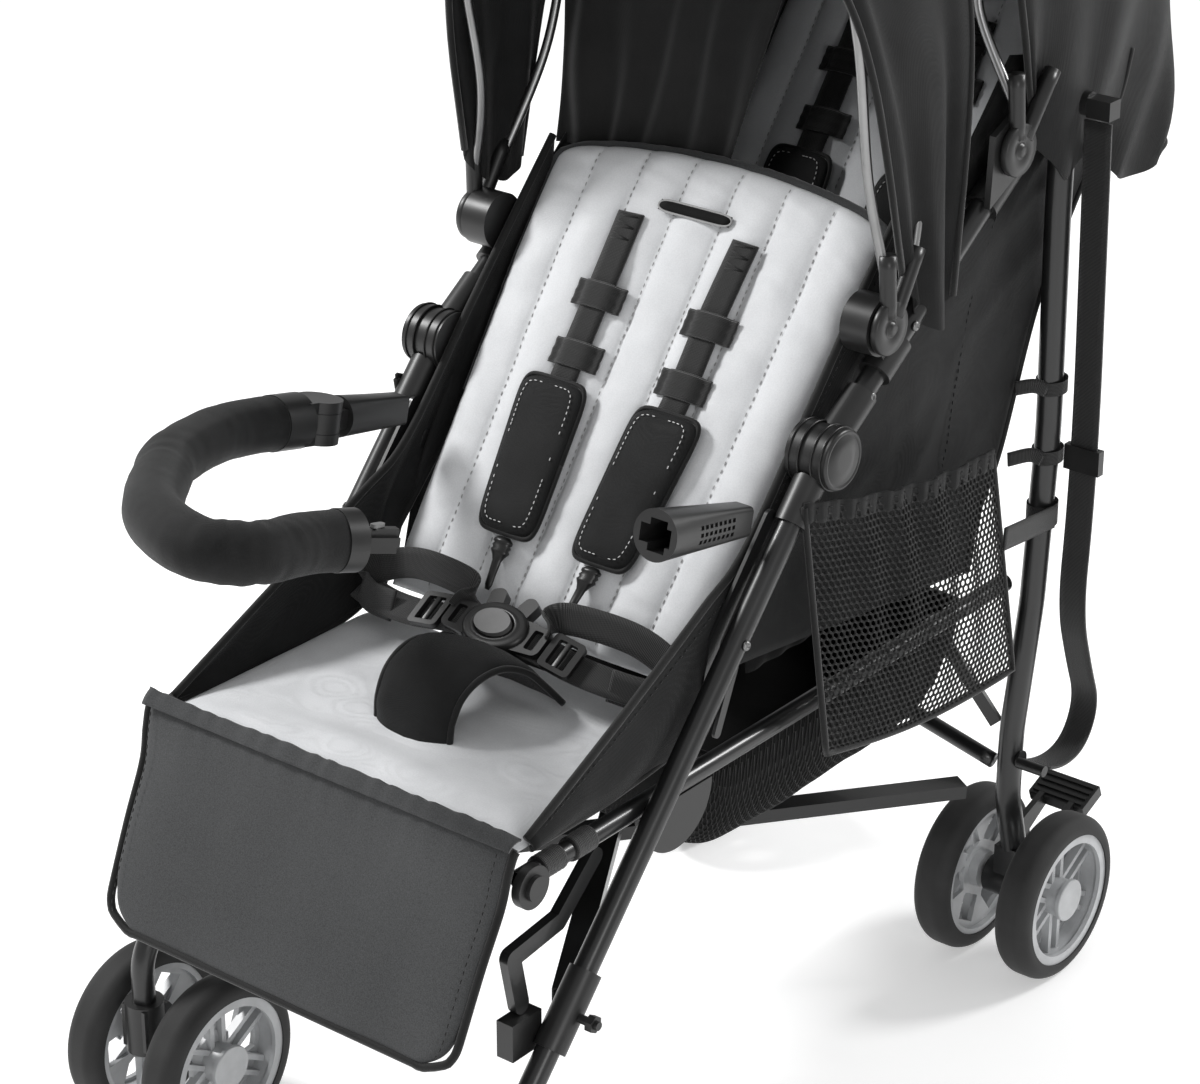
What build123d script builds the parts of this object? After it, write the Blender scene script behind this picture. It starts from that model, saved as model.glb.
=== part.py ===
from build123d import *
from math import atan2, cos, degrees, hypot, radians, sin, tan
import os

# Tandem umbrella stroller. Millimetres, +Z up, front towards -Y, the stroller's left side at +X.
# Everything is drawn about the middle of the frame and moved by MID_Y when it is written.

# ---- driving dimensions -------------------------------------------------------------
MID_Y = 70.15                  # middle of the overall length, taken to Y = 0 on export
WHEEL_R = 75.0                 # six inch wheels
TYRE_WIDTH = 34.0
RIM_R = 60.0
PAIR_HALF = 42.0               # wheel centre from the middle of its pair
AXLE_R = 4.0
RUNNING_GAP = 0.05
TRACK_HALF = 192.0             # middle of a wheel pair from the middle of the stroller
STEM_Y = -327.0
FRONT_AXLE_Y = -291.0
REAR_AXLE_Y = 356.0

TUBE_R = 9.5
TUBE_WALL = 1.5
FRAME_X = 193.0                # side tubes
KNUCKLE = (44.0, 588.0)        # fold knuckle axis, (y, z)
KNUCKLE_R = 24.5
LEG_BOTTOM = (-327.0, 174.0)   # bend of the front leg
HANDLE_SLOPE = 34.2            # degrees, upper tube
SLEEVE_R = 13.0

RAIL_X = 174.0
RAIL_Z = 363.0
RAIL_R = 8.0
RAIL_FRONT_Y = -296.0
RAIL_BACK_Y = 345.0

SEAT_HALF = 160.0
SEAT_THICK = 22.0
FRONT_CREASE = (-75.0, 424.0)
FRONT_BACK_ANGLE = 52.5
FRONT_BACK_LENGTH = 392.0
REAR_CREASE = (192.0, 446.0)
REAR_BACK_ANGLE = 52.6
REAR_BACK_LENGTH = 500.0
RECLINE_DROP = 9.0             # hem rod below the crease

SOCKET_X = 172.0
SOCKET_PITCH = 13.0            # the bumper bar's plane rises towards the front
SOCKET_LENGTH = 108.0
PIVOT = (-SOCKET_X, -125.0, 576.0)
PITCH_UP = (0, sin(radians(SOCKET_PITCH)), cos(radians(SOCKET_PITCH)))

FRONT_HOOD_PIVOT = (108.0, 674.0)
REAR_HOOD_PIVOT = (269.0, 775.0)
HOOD_DISC_R = 23.5
HOOD_SKIN = 5.0
BOW_R = 4.0

SIDES = {"left": 1, "right": -1}
nodes = {}


# ---- helpers ------------------------------------------------------------------------
def keep(name, *solids):
    """Store a node's solids, moved so that the whole stroller is centred on Y = 0."""
    shape = solids[0] if len(solids) == 1 else Compound(children=list(solids))
    nodes[name] = Pos(0, -MID_Y, 0) * shape


def box(x0, x1, y0, y1, z0, z1):
    return Pos((x0 + x1) / 2, (y0 + y1) / 2, (z0 + z1) / 2) * Box(x1 - x0, y1 - y0, z1 - z0)


def disc(x0, x1, y, z, radius):
    """A cylinder along X."""
    return Pos((x0 + x1) / 2, y, z) * Rot(0, 90, 0) * Cylinder(radius, abs(x1 - x0))


def rod(start, end, radius):
    """A straight round bar from start to end."""
    a, b = Vector(*start), Vector(*end)
    plane = Plane(origin=a, z_dir=b - a)
    return extrude(plane * Circle(radius), (b - a).length)


def sleeve(start, end, inner, outer):
    return rod(start, end, outer) - rod(start, end, inner)


def side_plate(points, x0, x1):
    """A plate cut to an outline in the YZ plane, from x0 to x1."""
    wire = Polyline(*[(x0, y, z) for y, z in points], close=True)
    return extrude(make_face(wire), x1 - x0, dir=(1, 0, 0))


def bent(points, radii):
    return FilletPolyline(*points, radius=radii)


def bent_tube(points, radii, radius, wall=0.0):
    """A round tube along straight runs joined by arcs."""
    path = bent(points, radii)
    plane = Plane(origin=path @ 0, z_dir=path % 0)
    tube = sweep(plane * Circle(radius), path=path)
    if wall:
        tube -= sweep(plane * Circle(radius - wall), path=path)
    return tube


def along(start, angle, distance):
    """The (y, z) point at a distance along a slope from start."""
    return (start[0] + distance * cos(radians(angle)), start[1] + distance * sin(radians(angle)))


def at(x, yz):
    return (x, yz[0], yz[1])


def mirrored(shape, side):
    return shape if side > 0 else mirror(shape, about=Plane.YZ)


LEG_ANGLE = degrees(atan2(KNUCKLE[1] - LEG_BOTTOM[1], KNUCKLE[0] - LEG_BOTTOM[0]))


def leg_point(distance_below_knuckle):
    return along(KNUCKLE, LEG_ANGLE, -distance_below_knuckle)


def handle_point(distance):
    return along(KNUCKLE, HANDLE_SLOPE, distance)


# ---- wheels -------------------------------------------------------------------------
def tyre(x, y):
    half = TYRE_WIDTH / 2
    outline = Pos(0, (WHEEL_R + RIM_R) / 2) * Rectangle(TYRE_WIDTH, WHEEL_R - RIM_R)
    outline = fillet(outline.vertices().filter_by(lambda v: v.Y > RIM_R + 1), half * 0.68)
    ring = revolve(outline, axis=Axis.X)
    return Pos(x, y, WHEEL_R) * ring


def rim(x, y, outward):
    """A dished rim with six pairs of spokes and a bored hub, open side facing outward."""
    ring = Rot(0, 90, 0) * (Cylinder(RIM_R, 31) - Cylinder(RIM_R - 5, 31))
    lip = Rot(0, 90, 0) * Pos(0, 0, 13.5) * (Cylinder(RIM_R - 4, 4) - Cylinder(RIM_R - 8, 4))
    hub = Rot(0, 90, 0) * Pos(0, 0, -1) * Cylinder(17, 28)
    outline = Polyline((-6, 15), (-1, 15), (-6, RIM_R - 4), (-11, RIM_R - 4), close=True)
    web = revolve(make_face(outline), axis=Axis.X)
    windows = []
    for turn in range(6):
        pocket = Pos(0, 0, 37) * Box(40, 24, 24)
        windows.append(Rot(turn * 60 + 30, 0, 0) * pocket)
    wheel = ring + lip + hub + web - windows
    for turn in range(6):
        for lean in (-6.5, 6.5):
            spoke = Pos(-1, lean, 36) * Box(8, 4.5, 44)
            wheel += Rot(turn * 60, 0, 0) * spoke
    wheel -= Rot(0, 90, 0) * Cylinder(AXLE_R + RUNNING_GAP, 80)
    cap = Rot(0, 90, 0) * Pos(0, 0, 15.2) * (Cylinder(19, 4))
    cap = fillet(cap.edges().group_by(Axis.X)[-1], 1.2)
    turn_round = 0 if outward > 0 else 180
    return [Pos(x, y, WHEEL_R) * Rot(0, 0, turn_round) * piece for piece in (wheel, cap)]


def wheel_pair(place, name, middle, y):
    inner_x, outer_x = middle - PAIR_HALF, middle + PAIR_HALF
    keep(f"tyres_{place}_{name}", tyre(inner_x, y), tyre(outer_x, y))
    keep(f"rims_{place}_{name}", *rim(inner_x, y, -1), *rim(outer_x, y, 1))


def axle(x, y):
    half = PAIR_HALF + 12
    return disc(x - half, x + half, y, WHEEL_R, AXLE_R)


def caster_fork(side):
    """The swivelling block under the front stem, with the axle it carries."""
    x = TRACK_HALF
    barrel = Pos(x, STEM_Y, 112) * Cylinder(16, 44)
    boss = disc(x - 22, x + 22, FRONT_AXLE_Y, WHEEL_R, 17)
    cheek = side_plate([(STEM_Y - 13, 132), (STEM_Y - 13, 94), (FRONT_AXLE_Y - 12, 64),
                        (FRONT_AXLE_Y + 16, 72), (FRONT_AXLE_Y + 4, 94), (STEM_Y + 15, 130)], x - 13, x + 13)
    block = barrel + boss + cheek
    block -= Pos(x, STEM_Y, 118) * Cylinder(TUBE_R + RUNNING_GAP, 40)
    block -= disc(x - 40, x + 40, FRONT_AXLE_Y, WHEEL_R, AXLE_R + RUNNING_GAP)
    return [mirrored(block, side), mirrored(axle(x, FRONT_AXLE_Y), side)]


# ---- side frame ---------------------------------------------------------------------
def front_leg(side):
    points = [(FRAME_X - 1, STEM_Y, 99.5), (FRAME_X - 1, *LEG_BOTTOM), at(FRAME_X, leg_point(29))]
    return mirrored(bent_tube(points, [45], TUBE_R, TUBE_WALL), side)


def lower_fittings(side):
    """Leg socket, its bolt and nut, the footrest pivot boss and the guard under the seat rail."""
    x = FRAME_X
    low, high = leg_point(492), leg_point(428)
    socket = sleeve(at(x, low), at(x, high), TUBE_R + 0.3, SLEEVE_R)
    bolt_at = leg_point(462)
    bolt = disc(x + 13.2, x + 31, *bolt_at, 3.5)
    nut = Pos(x + 22, *bolt_at) * Rot(0, 90, 0) * extrude(RegularPolygon(7, 6), 6)
    nut -= disc(x + 10, x + 40, *bolt_at, 3.6)
    boss = disc(RAIL_X + 8.5, RAIL_X + 16, RAIL_FRONT_Y, RAIL_Z, 17)
    button = disc(RAIL_X + 16.2, RAIL_X + 20, RAIL_FRONT_Y, RAIL_Z, 10)
    guard = Pos(RAIL_X, -112, RAIL_Z - 10) * Rot(0, 90, 0) * Cylinder(44, 6)
    guard &= box(RAIL_X - 10, RAIL_X + 10, -200, 0, 200, RAIL_Z - 10)
    block = box(RAIL_X - 8, RAIL_X + 7.5, -312, -279, 219, 250)
    return [mirrored(part, side) for part in (socket, bolt, nut, boss, button, guard, block)]


def knuckle(side):
    """Round fold knuckle: two outer bands on the lower sleeve, one middle band on the upper."""
    x = FRAME_X
    outer = disc(x - 18, x - 6.3, *KNUCKLE, KNUCKLE_R) + disc(x + 6.3, x + 18, *KNUCKLE, KNUCKLE_R)
    middle = disc(x - 6, x + 6, *KNUCKLE, KNUCKLE_R - 1)
    lower = rod(at(x, leg_point(60)), at(x, leg_point(20)), SLEEVE_R)
    lower -= rod(at(x, leg_point(70)), at(x, leg_point(27)), TUBE_R + 0.2)
    lower -= disc(x - 6.4, x + 6.4, *KNUCKLE, KNUCKLE_R + 0.4)
    upper = rod(at(x, handle_point(20)), at(x, handle_point(60)), SLEEVE_R)
    upper -= rod(at(x, handle_point(27)), at(x, handle_point(70)), TUBE_R + 0.2)
    upper -= disc(x - 19, x - 5.9, *KNUCKLE, KNUCKLE_R + 0.4)
    upper -= disc(x + 5.9, x + 19, *KNUCKLE, KNUCKLE_R + 0.4)
    screw = disc(x + 18.2, x + 20, *KNUCKLE, 7)
    return [mirrored(part, side) for part in (outer + lower, middle + upper, screw)]


HANDLE_BEND = (455.0, KNUCKLE[1] + (455.0 - KNUCKLE[0]) * tan(radians(HANDLE_SLOPE)))
GRIP_START = (503.0, 985.0)
GRIP_END = (584.0, 1031.0)


def handle_tube(side):
    points = [at(FRAME_X, handle_point(29)), at(FRAME_X, HANDLE_BEND), at(FRAME_X, GRIP_START),
              at(FRAME_X, GRIP_END)]
    return mirrored(bent_tube(points, [50, 40], TUBE_R, TUBE_WALL), side)


def grip(side):
    slope = degrees(atan2(GRIP_END[1] - GRIP_START[1], GRIP_END[0] - GRIP_START[0]))
    start, end = along(GRIP_START, slope, 18), along(GRIP_END, slope, 6)
    foam = rod(at(FRAME_X, start), at(FRAME_X, end), 15.5)
    foam -= rod(at(FRAME_X, along(start, slope, -5)), at(FRAME_X, along(GRIP_END, slope, 0.3)), TUBE_R + 0.2)
    return mirrored(foam, side)


def rear_leg(side):
    """Oval rear leg that curves down between the wheels, with its axle block and pin."""
    x = TRACK_HALF
    route = [(354, 113), (340, 165), (341, 230), (362, 345), (373, 500), (368, 700), (370, 784)]
    points = [(x, y, z) for y, z in route]
    path = bent(points, [70, 150, 200, 500, 800])
    plane = Plane(origin=path @ 0, x_dir=(1, 0, 0), z_dir=path % 0)
    leg = sweep(plane * Ellipse(10, 13), path=path) - sweep(plane * Ellipse(8.5, 11.5), path=path)
    block = disc(x - 22, x + 22, REAR_AXLE_Y, WHEEL_R, 17) + box(x - 12, x + 12, 342, 370, WHEEL_R, 112)
    block -= disc(x - 40, x + 40, REAR_AXLE_Y, WHEEL_R, AXLE_R + RUNNING_GAP)
    pin = disc(x - PAIR_HALF - 12, x + PAIR_HALF + 12, REAR_AXLE_Y, WHEEL_R, AXLE_R)
    bolt = disc(x + 10.3, x + 12, 340, 205, 8)
    return [mirrored(part, side) for part in (leg, block, pin, bolt)]


BRAKE_PIVOT = (376.0, 103.0)


def brake_pedal(side):
    """Ridged foot paddle behind the wheels on two short cheeks."""
    x = TRACK_HALF
    tread = Pos(x, 437, 127) * Rot(22, 0, 0)
    paddle = tread * Box(56, 30, 11)
    ridges = [tread * Pos(0, step * 7 - 10.5, 6) * Box(50, 3, 2.4) for step in range(4)]
    arm = side_plate([(371, 95), (384, 92), (430, 118), (426, 130), (374, 112)], x + 12.6, x + 18)
    arms = arm + Pos(-30.6, 0, 0) * arm
    pedal = paddle + ridges + arms
    pedal -= disc(x - 30, x + 30, 375, 103, 3.05)
    return mirrored(pedal, side)


def seat_rail(side):
    tube = rod((RAIL_X, RAIL_FRONT_Y, RAIL_Z), (RAIL_X, RAIL_BACK_Y, RAIL_Z), RAIL_R)
    tube -= rod((RAIL_X, RAIL_FRONT_Y, RAIL_Z), (RAIL_X, RAIL_BACK_Y, RAIL_Z), RAIL_R - TUBE_WALL)
    return mirrored(tube, side)


def flat_link(points, width, x0, x1):
    """A flat bar with round joints, lying in the YZ plane."""
    solid = None
    for (y0, z0), (y1, z1) in zip(points, points[1:]):
        run, turn = hypot(y1 - y0, z1 - z0), degrees(atan2(z1 - z0, y1 - y0))
        piece = Pos((x0 + x1) / 2, (y0 + y1) / 2, (z0 + z1) / 2) * Rot(turn, 0, 0) * Box(x1 - x0, run, width)
        piece += disc(x0, x1, y0, z0, width / 2) + disc(x0, x1, y1, z1, width / 2)
        solid = piece if solid is None else solid + piece
    return solid


def fold_links(side):
    """The zigzag link below the seat rail and the two struts above it."""
    zigzag = flat_link([(-208, 344), (-249, 308), (-303, 301), (-294, 258)], 15, RAIL_X - 6, RAIL_X + 2)
    strut = flat_link([(-88, 402), (-70, 470), (-3, 548)], 13, RAIL_X + 3, RAIL_X + 6)
    stay = flat_link([(-60, 386), (-31, 452), (4, 520)], 8, RAIL_X - 1, RAIL_X + 2)
    return [mirrored(part, side) for part in (zigzag, strut, stay)]


def bumper_axis(v):
    """(y, z) at a distance v forward of the bar's pivot, in the bar's rising plane."""
    return (PIVOT[1] - v * cos(radians(SOCKET_PITCH)), PIVOT[2] + v * sin(radians(SOCKET_PITCH)))


def socket_body(x, front, back, front_r, back_r):
    plane_front = Plane(origin=at(x, bumper_axis(front)), x_dir=(1, 0, 0),
                        z_dir=(0, -cos(radians(SOCKET_PITCH)), sin(radians(SOCKET_PITCH))))
    length = front - back
    near = plane_front * Circle(front_r)
    far = plane_front.offset(-length) * RectangleRounded(back_r * 1.7, back_r * 2, 4)
    return plane_front, loft([far, near])


SOCKET_FACE = 10.0             # how far the round face stands ahead of the pivot line


def bumper_socket_left():
    """Receiver on the left side: round face with a cross-shaped slot for the bar's plug."""
    plane, body = socket_body(SOCKET_X, SOCKET_FACE, SOCKET_FACE - SOCKET_LENGTH, 20, 12)
    cross = Rectangle(28, 14) + Pos(2, 0) * Rectangle(15.5, 25)
    body -= extrude(plane * cross, -42)
    grille = []
    for row in range(3):
        for column in range(8):
            behind = 36 + column * 6.4
            half_width = 20 - 9.8 * behind / SOCKET_LENGTH
            grille.append(plane.offset(-behind) * Pos(half_width, (row - 1) * 5.5, 0) * Box(5, 3.2, 4))
    return body - grille


def bumper_socket_right():
    """The right side carries the bar on an upright swivel eye."""
    plane, body = socket_body(-SOCKET_X, -24, SOCKET_FACE - SOCKET_LENGTH, 17, 12)
    swivel = Plane(origin=PIVOT, x_dir=(1, 0, 0), z_dir=PITCH_UP)
    eye = extrude(swivel * Circle(19), 8, both=True)
    tongue = plane * Pos(0, 0, 7) * Box(22, 16, 26)
    return body + eye + tongue - extrude(swivel * Circle(5), 12, both=True)


def canopy_hinges(side):
    """Clamps on the upper tube: a round hinge for the front hood and a plate for the rear one."""
    x = FRAME_X
    y, z = FRONT_HOOD_PIVOT
    clamp_y = FRONT_HOOD_PIVOT[0] + 16
    clamp_at = (clamp_y, KNUCKLE[1] + (clamp_y - KNUCKLE[0]) * tan(radians(HANDLE_SLOPE)))
    low, high = along(clamp_at, HANDLE_SLOPE, -17), along(clamp_at, HANDLE_SLOPE, 17)
    clamp = rod(at(x, low), at(x, high), SLEEVE_R + 0.5)
    neck_outline = [(clamp_y - 12, clamp_at[1]), (clamp_y + 12, clamp_at[1] + 8), (y + 12, z), (y - 14, z)]
    neck = side_plate(neck_outline, x - 10, x + 8)
    front = disc(x - 16, x + 9, y, z, HOOD_DISC_R) + clamp + neck
    ry, rz = REAR_HOOD_PIVOT
    rear_at = (ry, KNUCKLE[1] + (ry - KNUCKLE[0]) * tan(radians(HANDLE_SLOPE)))
    low2, high2 = along(rear_at, HANDLE_SLOPE, -22), along(rear_at, HANDLE_SLOPE, 22)
    rear = rod(at(x, low2), at(x, high2), SLEEVE_R + 0.5)
    outline = [(ry - 30, rz - 42), (ry + 34, rz - 10), (ry + 28, rz + 18), (ry, rz + 27), (ry - 26, rz + 16)]
    plate = side_plate(outline, x + 9.8, x + 15.4)
    rear += plate - disc(x, x + 30, ry, rz, 9.0)
    bore = rod(at(x, handle_point(40)), at(x, handle_point(400)), TUBE_R + 0.2)
    return [mirrored(part - bore, side) for part in (front, rear)]


# ---- braces -------------------------------------------------------------------------
BOTTOM_CENTRE = (0.0, 33.5, 208.0)
BOTTOM_HALF = 318.0
BOTTOM_TURN = 32.0             # degrees from the stroller's length
REAR_CENTRE = (0.0, 352.0, 411.0)
REAR_HALF = 252.0
REAR_TURN = 42.8               # degrees from upright


def bottom_brace(which):
    """One of two flat tubes that cross under the basket and turn about an upright bolt."""
    sign = 1 if which == "a" else -1
    rise = 3.2
    bar = Box(20, 2 * BOTTOM_HALF, 12) - Box(17, 2 * BOTTOM_HALF + 1, 9)
    bar = Rot(0, 0, sign * BOTTOM_TURN) * Rot(-rise, 0, 0) * bar
    bar = Pos(0, BOTTOM_CENTRE[1], BOTTOM_CENTRE[2] + sign * 8.6) * bar
    bar -= Pos(0, BOTTOM_CENTRE[1], BOTTOM_CENTRE[2]) * Cylinder(3.05, 60)
    bolt = Pos(0, BOTTOM_CENTRE[1], BOTTOM_CENTRE[2]) * Cylinder(3.0, 36)
    return [bar, bolt] if which == "a" else [bar]


def rear_brace(which):
    """One of two thin bars that cross behind the rear seat."""
    sign = 1 if which == "a" else -1
    bar = Rot(0, sign * REAR_TURN, 0) * Box(13, 4, 2 * REAR_HALF)
    bar = Pos(0, REAR_CENTRE[1] + sign * 2.6, REAR_CENTRE[2]) * bar
    bar -= Pos(*REAR_CENTRE) * Rot(90, 0, 0) * Cylinder(3.05, 30)
    bolt = Pos(*REAR_CENTRE) * Rot(90, 0, 0) * Cylinder(3.0, 14)
    return [bar, bolt] if which == "a" else [bar]


def lock_bar():
    """Low rear link from leg to leg, highest at its middle lock."""
    end_x, end_z, mid_z, y = 178.0, 196.0, 236.0, 338.0
    halves = [rod((sign * end_x, y, end_z), (sign * 14, y, mid_z - 3), 7) for sign in (1, -1)]
    return [*halves, box(-13.5, 13.5, y - 10, y + 6, mid_z - 12, mid_z + 10)]


# ---- seats --------------------------------------------------------------------------
def backrest(crease, angle, length, half, thick, top_crown):
    """A padded board with a crowned top edge, leaning back from the rod in its lower hem that it turns on."""
    face = Polyline((-half + 8, 0), (half - 8, 0), (half, 12), (half, length - 30), (half - 22, length - 6),
                    (0, length + top_crown), (-half + 22, length - 6), (-half, length - 30), (-half, 12),
                    close=True)
    board = extrude(make_face(face), -thick)
    plane = Plane(origin=(0, *crease), x_dir=(1, 0, 0), z_dir=(0, -sin(radians(angle)), cos(radians(angle))))
    hem_rod = disc(-half + 10, half - 10, crease[0], crease[1] - RECLINE_DROP, 5)
    return plane * board + hem_rod


def shoulder_straps(crease, angle, low, high, pad_low, pad_high, spread):
    """Two webbing straps with padded sleeves, lying on a backrest's face."""
    solids = []
    plane = Plane(origin=(0, *crease), x_dir=(1, 0, 0), z_dir=(0, -sin(radians(angle)), cos(radians(angle))))
    for sign in (1, -1):
        strap = Pos(sign * spread, (pad_high + high) / 2 + 1, 3.2) * Box(25, high - pad_high, 3)
        pad = Pos(sign * spread * 0.8, (pad_low + pad_high) / 2, 9) * Box(50, pad_high - pad_low, 14)
        tail = Pos(sign * spread * 0.55, (low + pad_low) / 2 - 1, 8) * Box(20, pad_low - low, 3)
        solids += [plane * strap, plane * pad, plane * tail]
    return solids


def buckle(y, z, button_hole):
    """Buckle body, lap webbing to both sides and the padded crotch strap below it."""
    body = Pos(0, y, z) * Rot(30, 0, 0) * (extrude(Ellipse(32, 22), 9, both=True))
    body -= Pos(0, y, z) * Rot(30, 0, 0) * Pos(0, 0, 7) * extrude(Ellipse(*button_hole), 10)
    lap = [Pos(sign * 92, y + 14, z + 4) * Rot(30, 0, 0) * Box(112, 25, 3) for sign in (1, -1)]
    pad = side_plate([(y - 92, 401.5), (y - 34, 401.5), (y - 26, 416), (y - 60, 440), (y - 84, 428)], -33, 33)
    return [body, *lap, pad]


def push_button(y, z, radii):
    return Pos(0, y, z) * Rot(30, 0, 0) * Pos(0, 0, 7.5) * extrude(Ellipse(*radii), 4.5)


FRONT_BUCKLE = (-112.0, 440.0)
REAR_BUCKLE = (112.0, 462.0)


def side_panel(side):
    outline = [(-284, 402), (-76, 497), (-22, 523), (165, 735), (178, 722), (172, 600), (20, 538),
               (-20, 496), (-62, 446), (-70, 402)]
    return mirrored(side_plate(outline, 166, 171), side)


def footrest():
    """Padded panel that hangs from the seat's front edge."""
    top, bottom = (-315.0, 374.0), (-382.0, 233.0)
    run = hypot(bottom[0] - top[0], bottom[1] - top[1])
    lean = degrees(atan2(top[1] - bottom[1], top[0] - bottom[0]))
    face = Polyline((-181, 0), (181, 0), (174, -run + 26), (148, -run), (-148, -run), (-174, -run + 26),
                    close=True)
    plane = Plane(origin=(0, *top), x_dir=(1, 0, 0), z_dir=(0, -sin(radians(lean)), cos(radians(lean))))
    return plane * extrude(make_face(face), -13)


# ---- hoods --------------------------------------------------------------------------
def arch(half, top, bottom, corner, y0, y1):
    """A solid tunnel with rounded upper corners, running along Y."""
    outline = Rectangle(2 * half, top - bottom)
    outline = Pos(0, (top + bottom) / 2) * outline
    outline = fillet(outline.vertices().group_by(Axis.Y)[-1], corner)
    return extrude(Plane(origin=(0, y1, 0), x_dir=(1, 0, 0), z_dir=(0, -1, 0)) * outline, y1 - y0)


def front_hood():
    half, top = 200.0, 1020.0
    profile = [(146, 712), (96, 840), (60, 950), (72, 1002), (150, 1021), (225, 1010), (244, 960), (222, 850),
               (184, 716)]
    outer = side_plate(profile, -half, half) & arch(half, top, 600, 110, 0, 400)
    return outer - arch(half - HOOD_SKIN, top - HOOD_SKIN, 500, 106, -100, 500)


def rear_hood():
    half, top = 178.0, 1046.0
    profile = [(285, 800), (262, 900), (250, 1000), (290, 1047), (430, 1047), (535, 985), (605, 860),
               (640, 700), (618, 684), (560, 722), (430, 775)]
    inside = [(200, 600), (200, 1041), (428, 1041), (531, 980), (600, 858), (632, 704), (632, 600)]
    outer = side_plate(profile, -half, half) & arch(half, top, 600, 110, 100, 700)
    inner = side_plate(inside, -half + HOOD_SKIN, half - HOOD_SKIN)
    return outer - (inner & arch(half - HOOD_SKIN, top - HOOD_SKIN, 500, 106, 100, 700))


def bow(low, middle, high, out_x, in_x, corner):
    """A U-shaped hood rod from one hinge over the top to the other."""
    points = [(out_x, *low), (in_x, *middle), (in_x, *high), (-in_x, *high), (-in_x, *middle), (-out_x, *low)]
    return bent_tube(points, [60, corner, corner, 60], BOW_R)


def hood_bows(pivot, disc_x, bows, in_x, corner):
    """The rods of one hood with the hinge plates they turn on."""
    y, z = pivot
    solids = []
    for side in (1, -1):
        plate = disc(disc_x, disc_x + 7, y, z, HOOD_DISC_R - 2)
        screw = disc(disc_x + 7.2, disc_x + 9, y, z, 6)
        for low, middle, _ in bows:
            arm = rod((disc_x + 3.5, y, z), (disc_x + 3.5, *low), 5.5)
            plate += arm & box(disc_x, disc_x + 7, -500, 900, 0, 1200)
        solids += [mirrored(plate, side), mirrored(screw, side)]
    for low, middle, high in bows:
        solids.append(bow(low, middle, high, disc_x + 3.5, in_x, corner))
    return solids


FRONT_BOWS = [((106, 703), (98, 790), (72, 1003)), ((132, 700), (180, 800), (224, 985))]
REAR_BOWS = [((266, 806), (264, 880), (262, 1022)), ((300, 800), (390, 880), (470, 1010))]


# ---- basket, pockets, strap ---------------------------------------------------------
def basket():
    """Open-topped bag under the rear seat."""
    outer = side_plate([(-28, 240), (120, 226), (296, 232), (312, 345), (-40, 345)], -150, 150)
    inner = side_plate([(-24, 244), (120, 230), (292, 236), (308, 400), (-36, 400)], -146, 146)
    return outer - inner


def side_pocket(side):
    """Flat mesh pocket outside the side frame, open at its top."""
    outline = [(10, 548), (236, 521), (322, 290), (74, 330)]
    inner = [(16, 560), (236, 560), (230, 523), (316, 296), (78, 336)]
    bag = side_plate(outline, 207, 218) - side_plate(inner, 209, 216)
    return mirrored(bag, side)


STRAP_X = 217.0
STRAP_WIDTH = 25.0
STRAP_THICK = 2.5
STRAP_ROUTE = [(381, 770), (386, 640), (391, 520), (390, 420), (384, 335), (404, 276), (421, 235),
               (404, 200), (368, 194), (345, 203)]


def route_radii(points):
    """The largest arc each corner takes: 0.45 of its shorter run over the tangent of half its turn."""
    radii = []
    for a, b, c in zip(points, points[1:], points[2:]):
        before, after = Vector(*b) - Vector(*a), Vector(*c) - Vector(*b)
        half_turn = radians(before.get_angle(after)) / 2
        radii.append(0.45 * min(before.length, after.length) / tan(half_turn))
    return radii


def carry_strap():
    points = [(STRAP_X, y, z) for y, z in STRAP_ROUTE]
    radii = route_radii(points)
    print("carry strap radii", [round(r) for r in radii])
    path = bent(points, radii)
    plane = Plane(origin=path @ 0, x_dir=(1, 0, 0), z_dir=path % 0)
    strap = sweep(plane * Rectangle(STRAP_WIDTH, STRAP_THICK), path=path)
    print("carry strap length", round(path.length, 1), "volume ratio",
          round(strap.volume / (path.length * STRAP_WIDTH * STRAP_THICK), 4))
    return strap


def strap_hardware():
    """Rivet and bracket at the top, a slider on the way down, a tab at the bottom."""
    rivet = disc(203.2, 209, 382, 783, 10)
    bracket = box(209.2, 231, 374, 390, 774, 790)
    slider = box(STRAP_X - 17, STRAP_X + 17, 386.5, 394.5, 462, 484)
    slider -= box(STRAP_X - 13.5, STRAP_X + 13.5, 388, 393, 450, 500)
    tab = disc(204.4, 231, 334, 205, 5)
    return [rivet, bracket, slider, tab]


# ---- bumper bar ---------------------------------------------------------------------
BAR_ROUTE = [(-3, 24), (-3, 67), (12, 139), (52, 218), (111, 291), (178, 350), (233, 366), (252, 332),
             (247, 285), (252, 250)]
BAR_TIP = (269, 212)


def bar_point(u, v):
    y, z = bumper_axis(v)
    return (PIVOT[0] + u, y, z)


def button_plane(lift_by):
    """A plane across the plug's middle, that far above its centre line."""
    middle = (Vector(*bar_point(256.5, 240)) + Vector(*bar_point(*BAR_TIP))) * 0.5
    lift = Vector(*PITCH_UP)
    return Plane(origin=middle + lift * lift_by, x_dir=(1, 0, 0), z_dir=lift)


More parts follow.
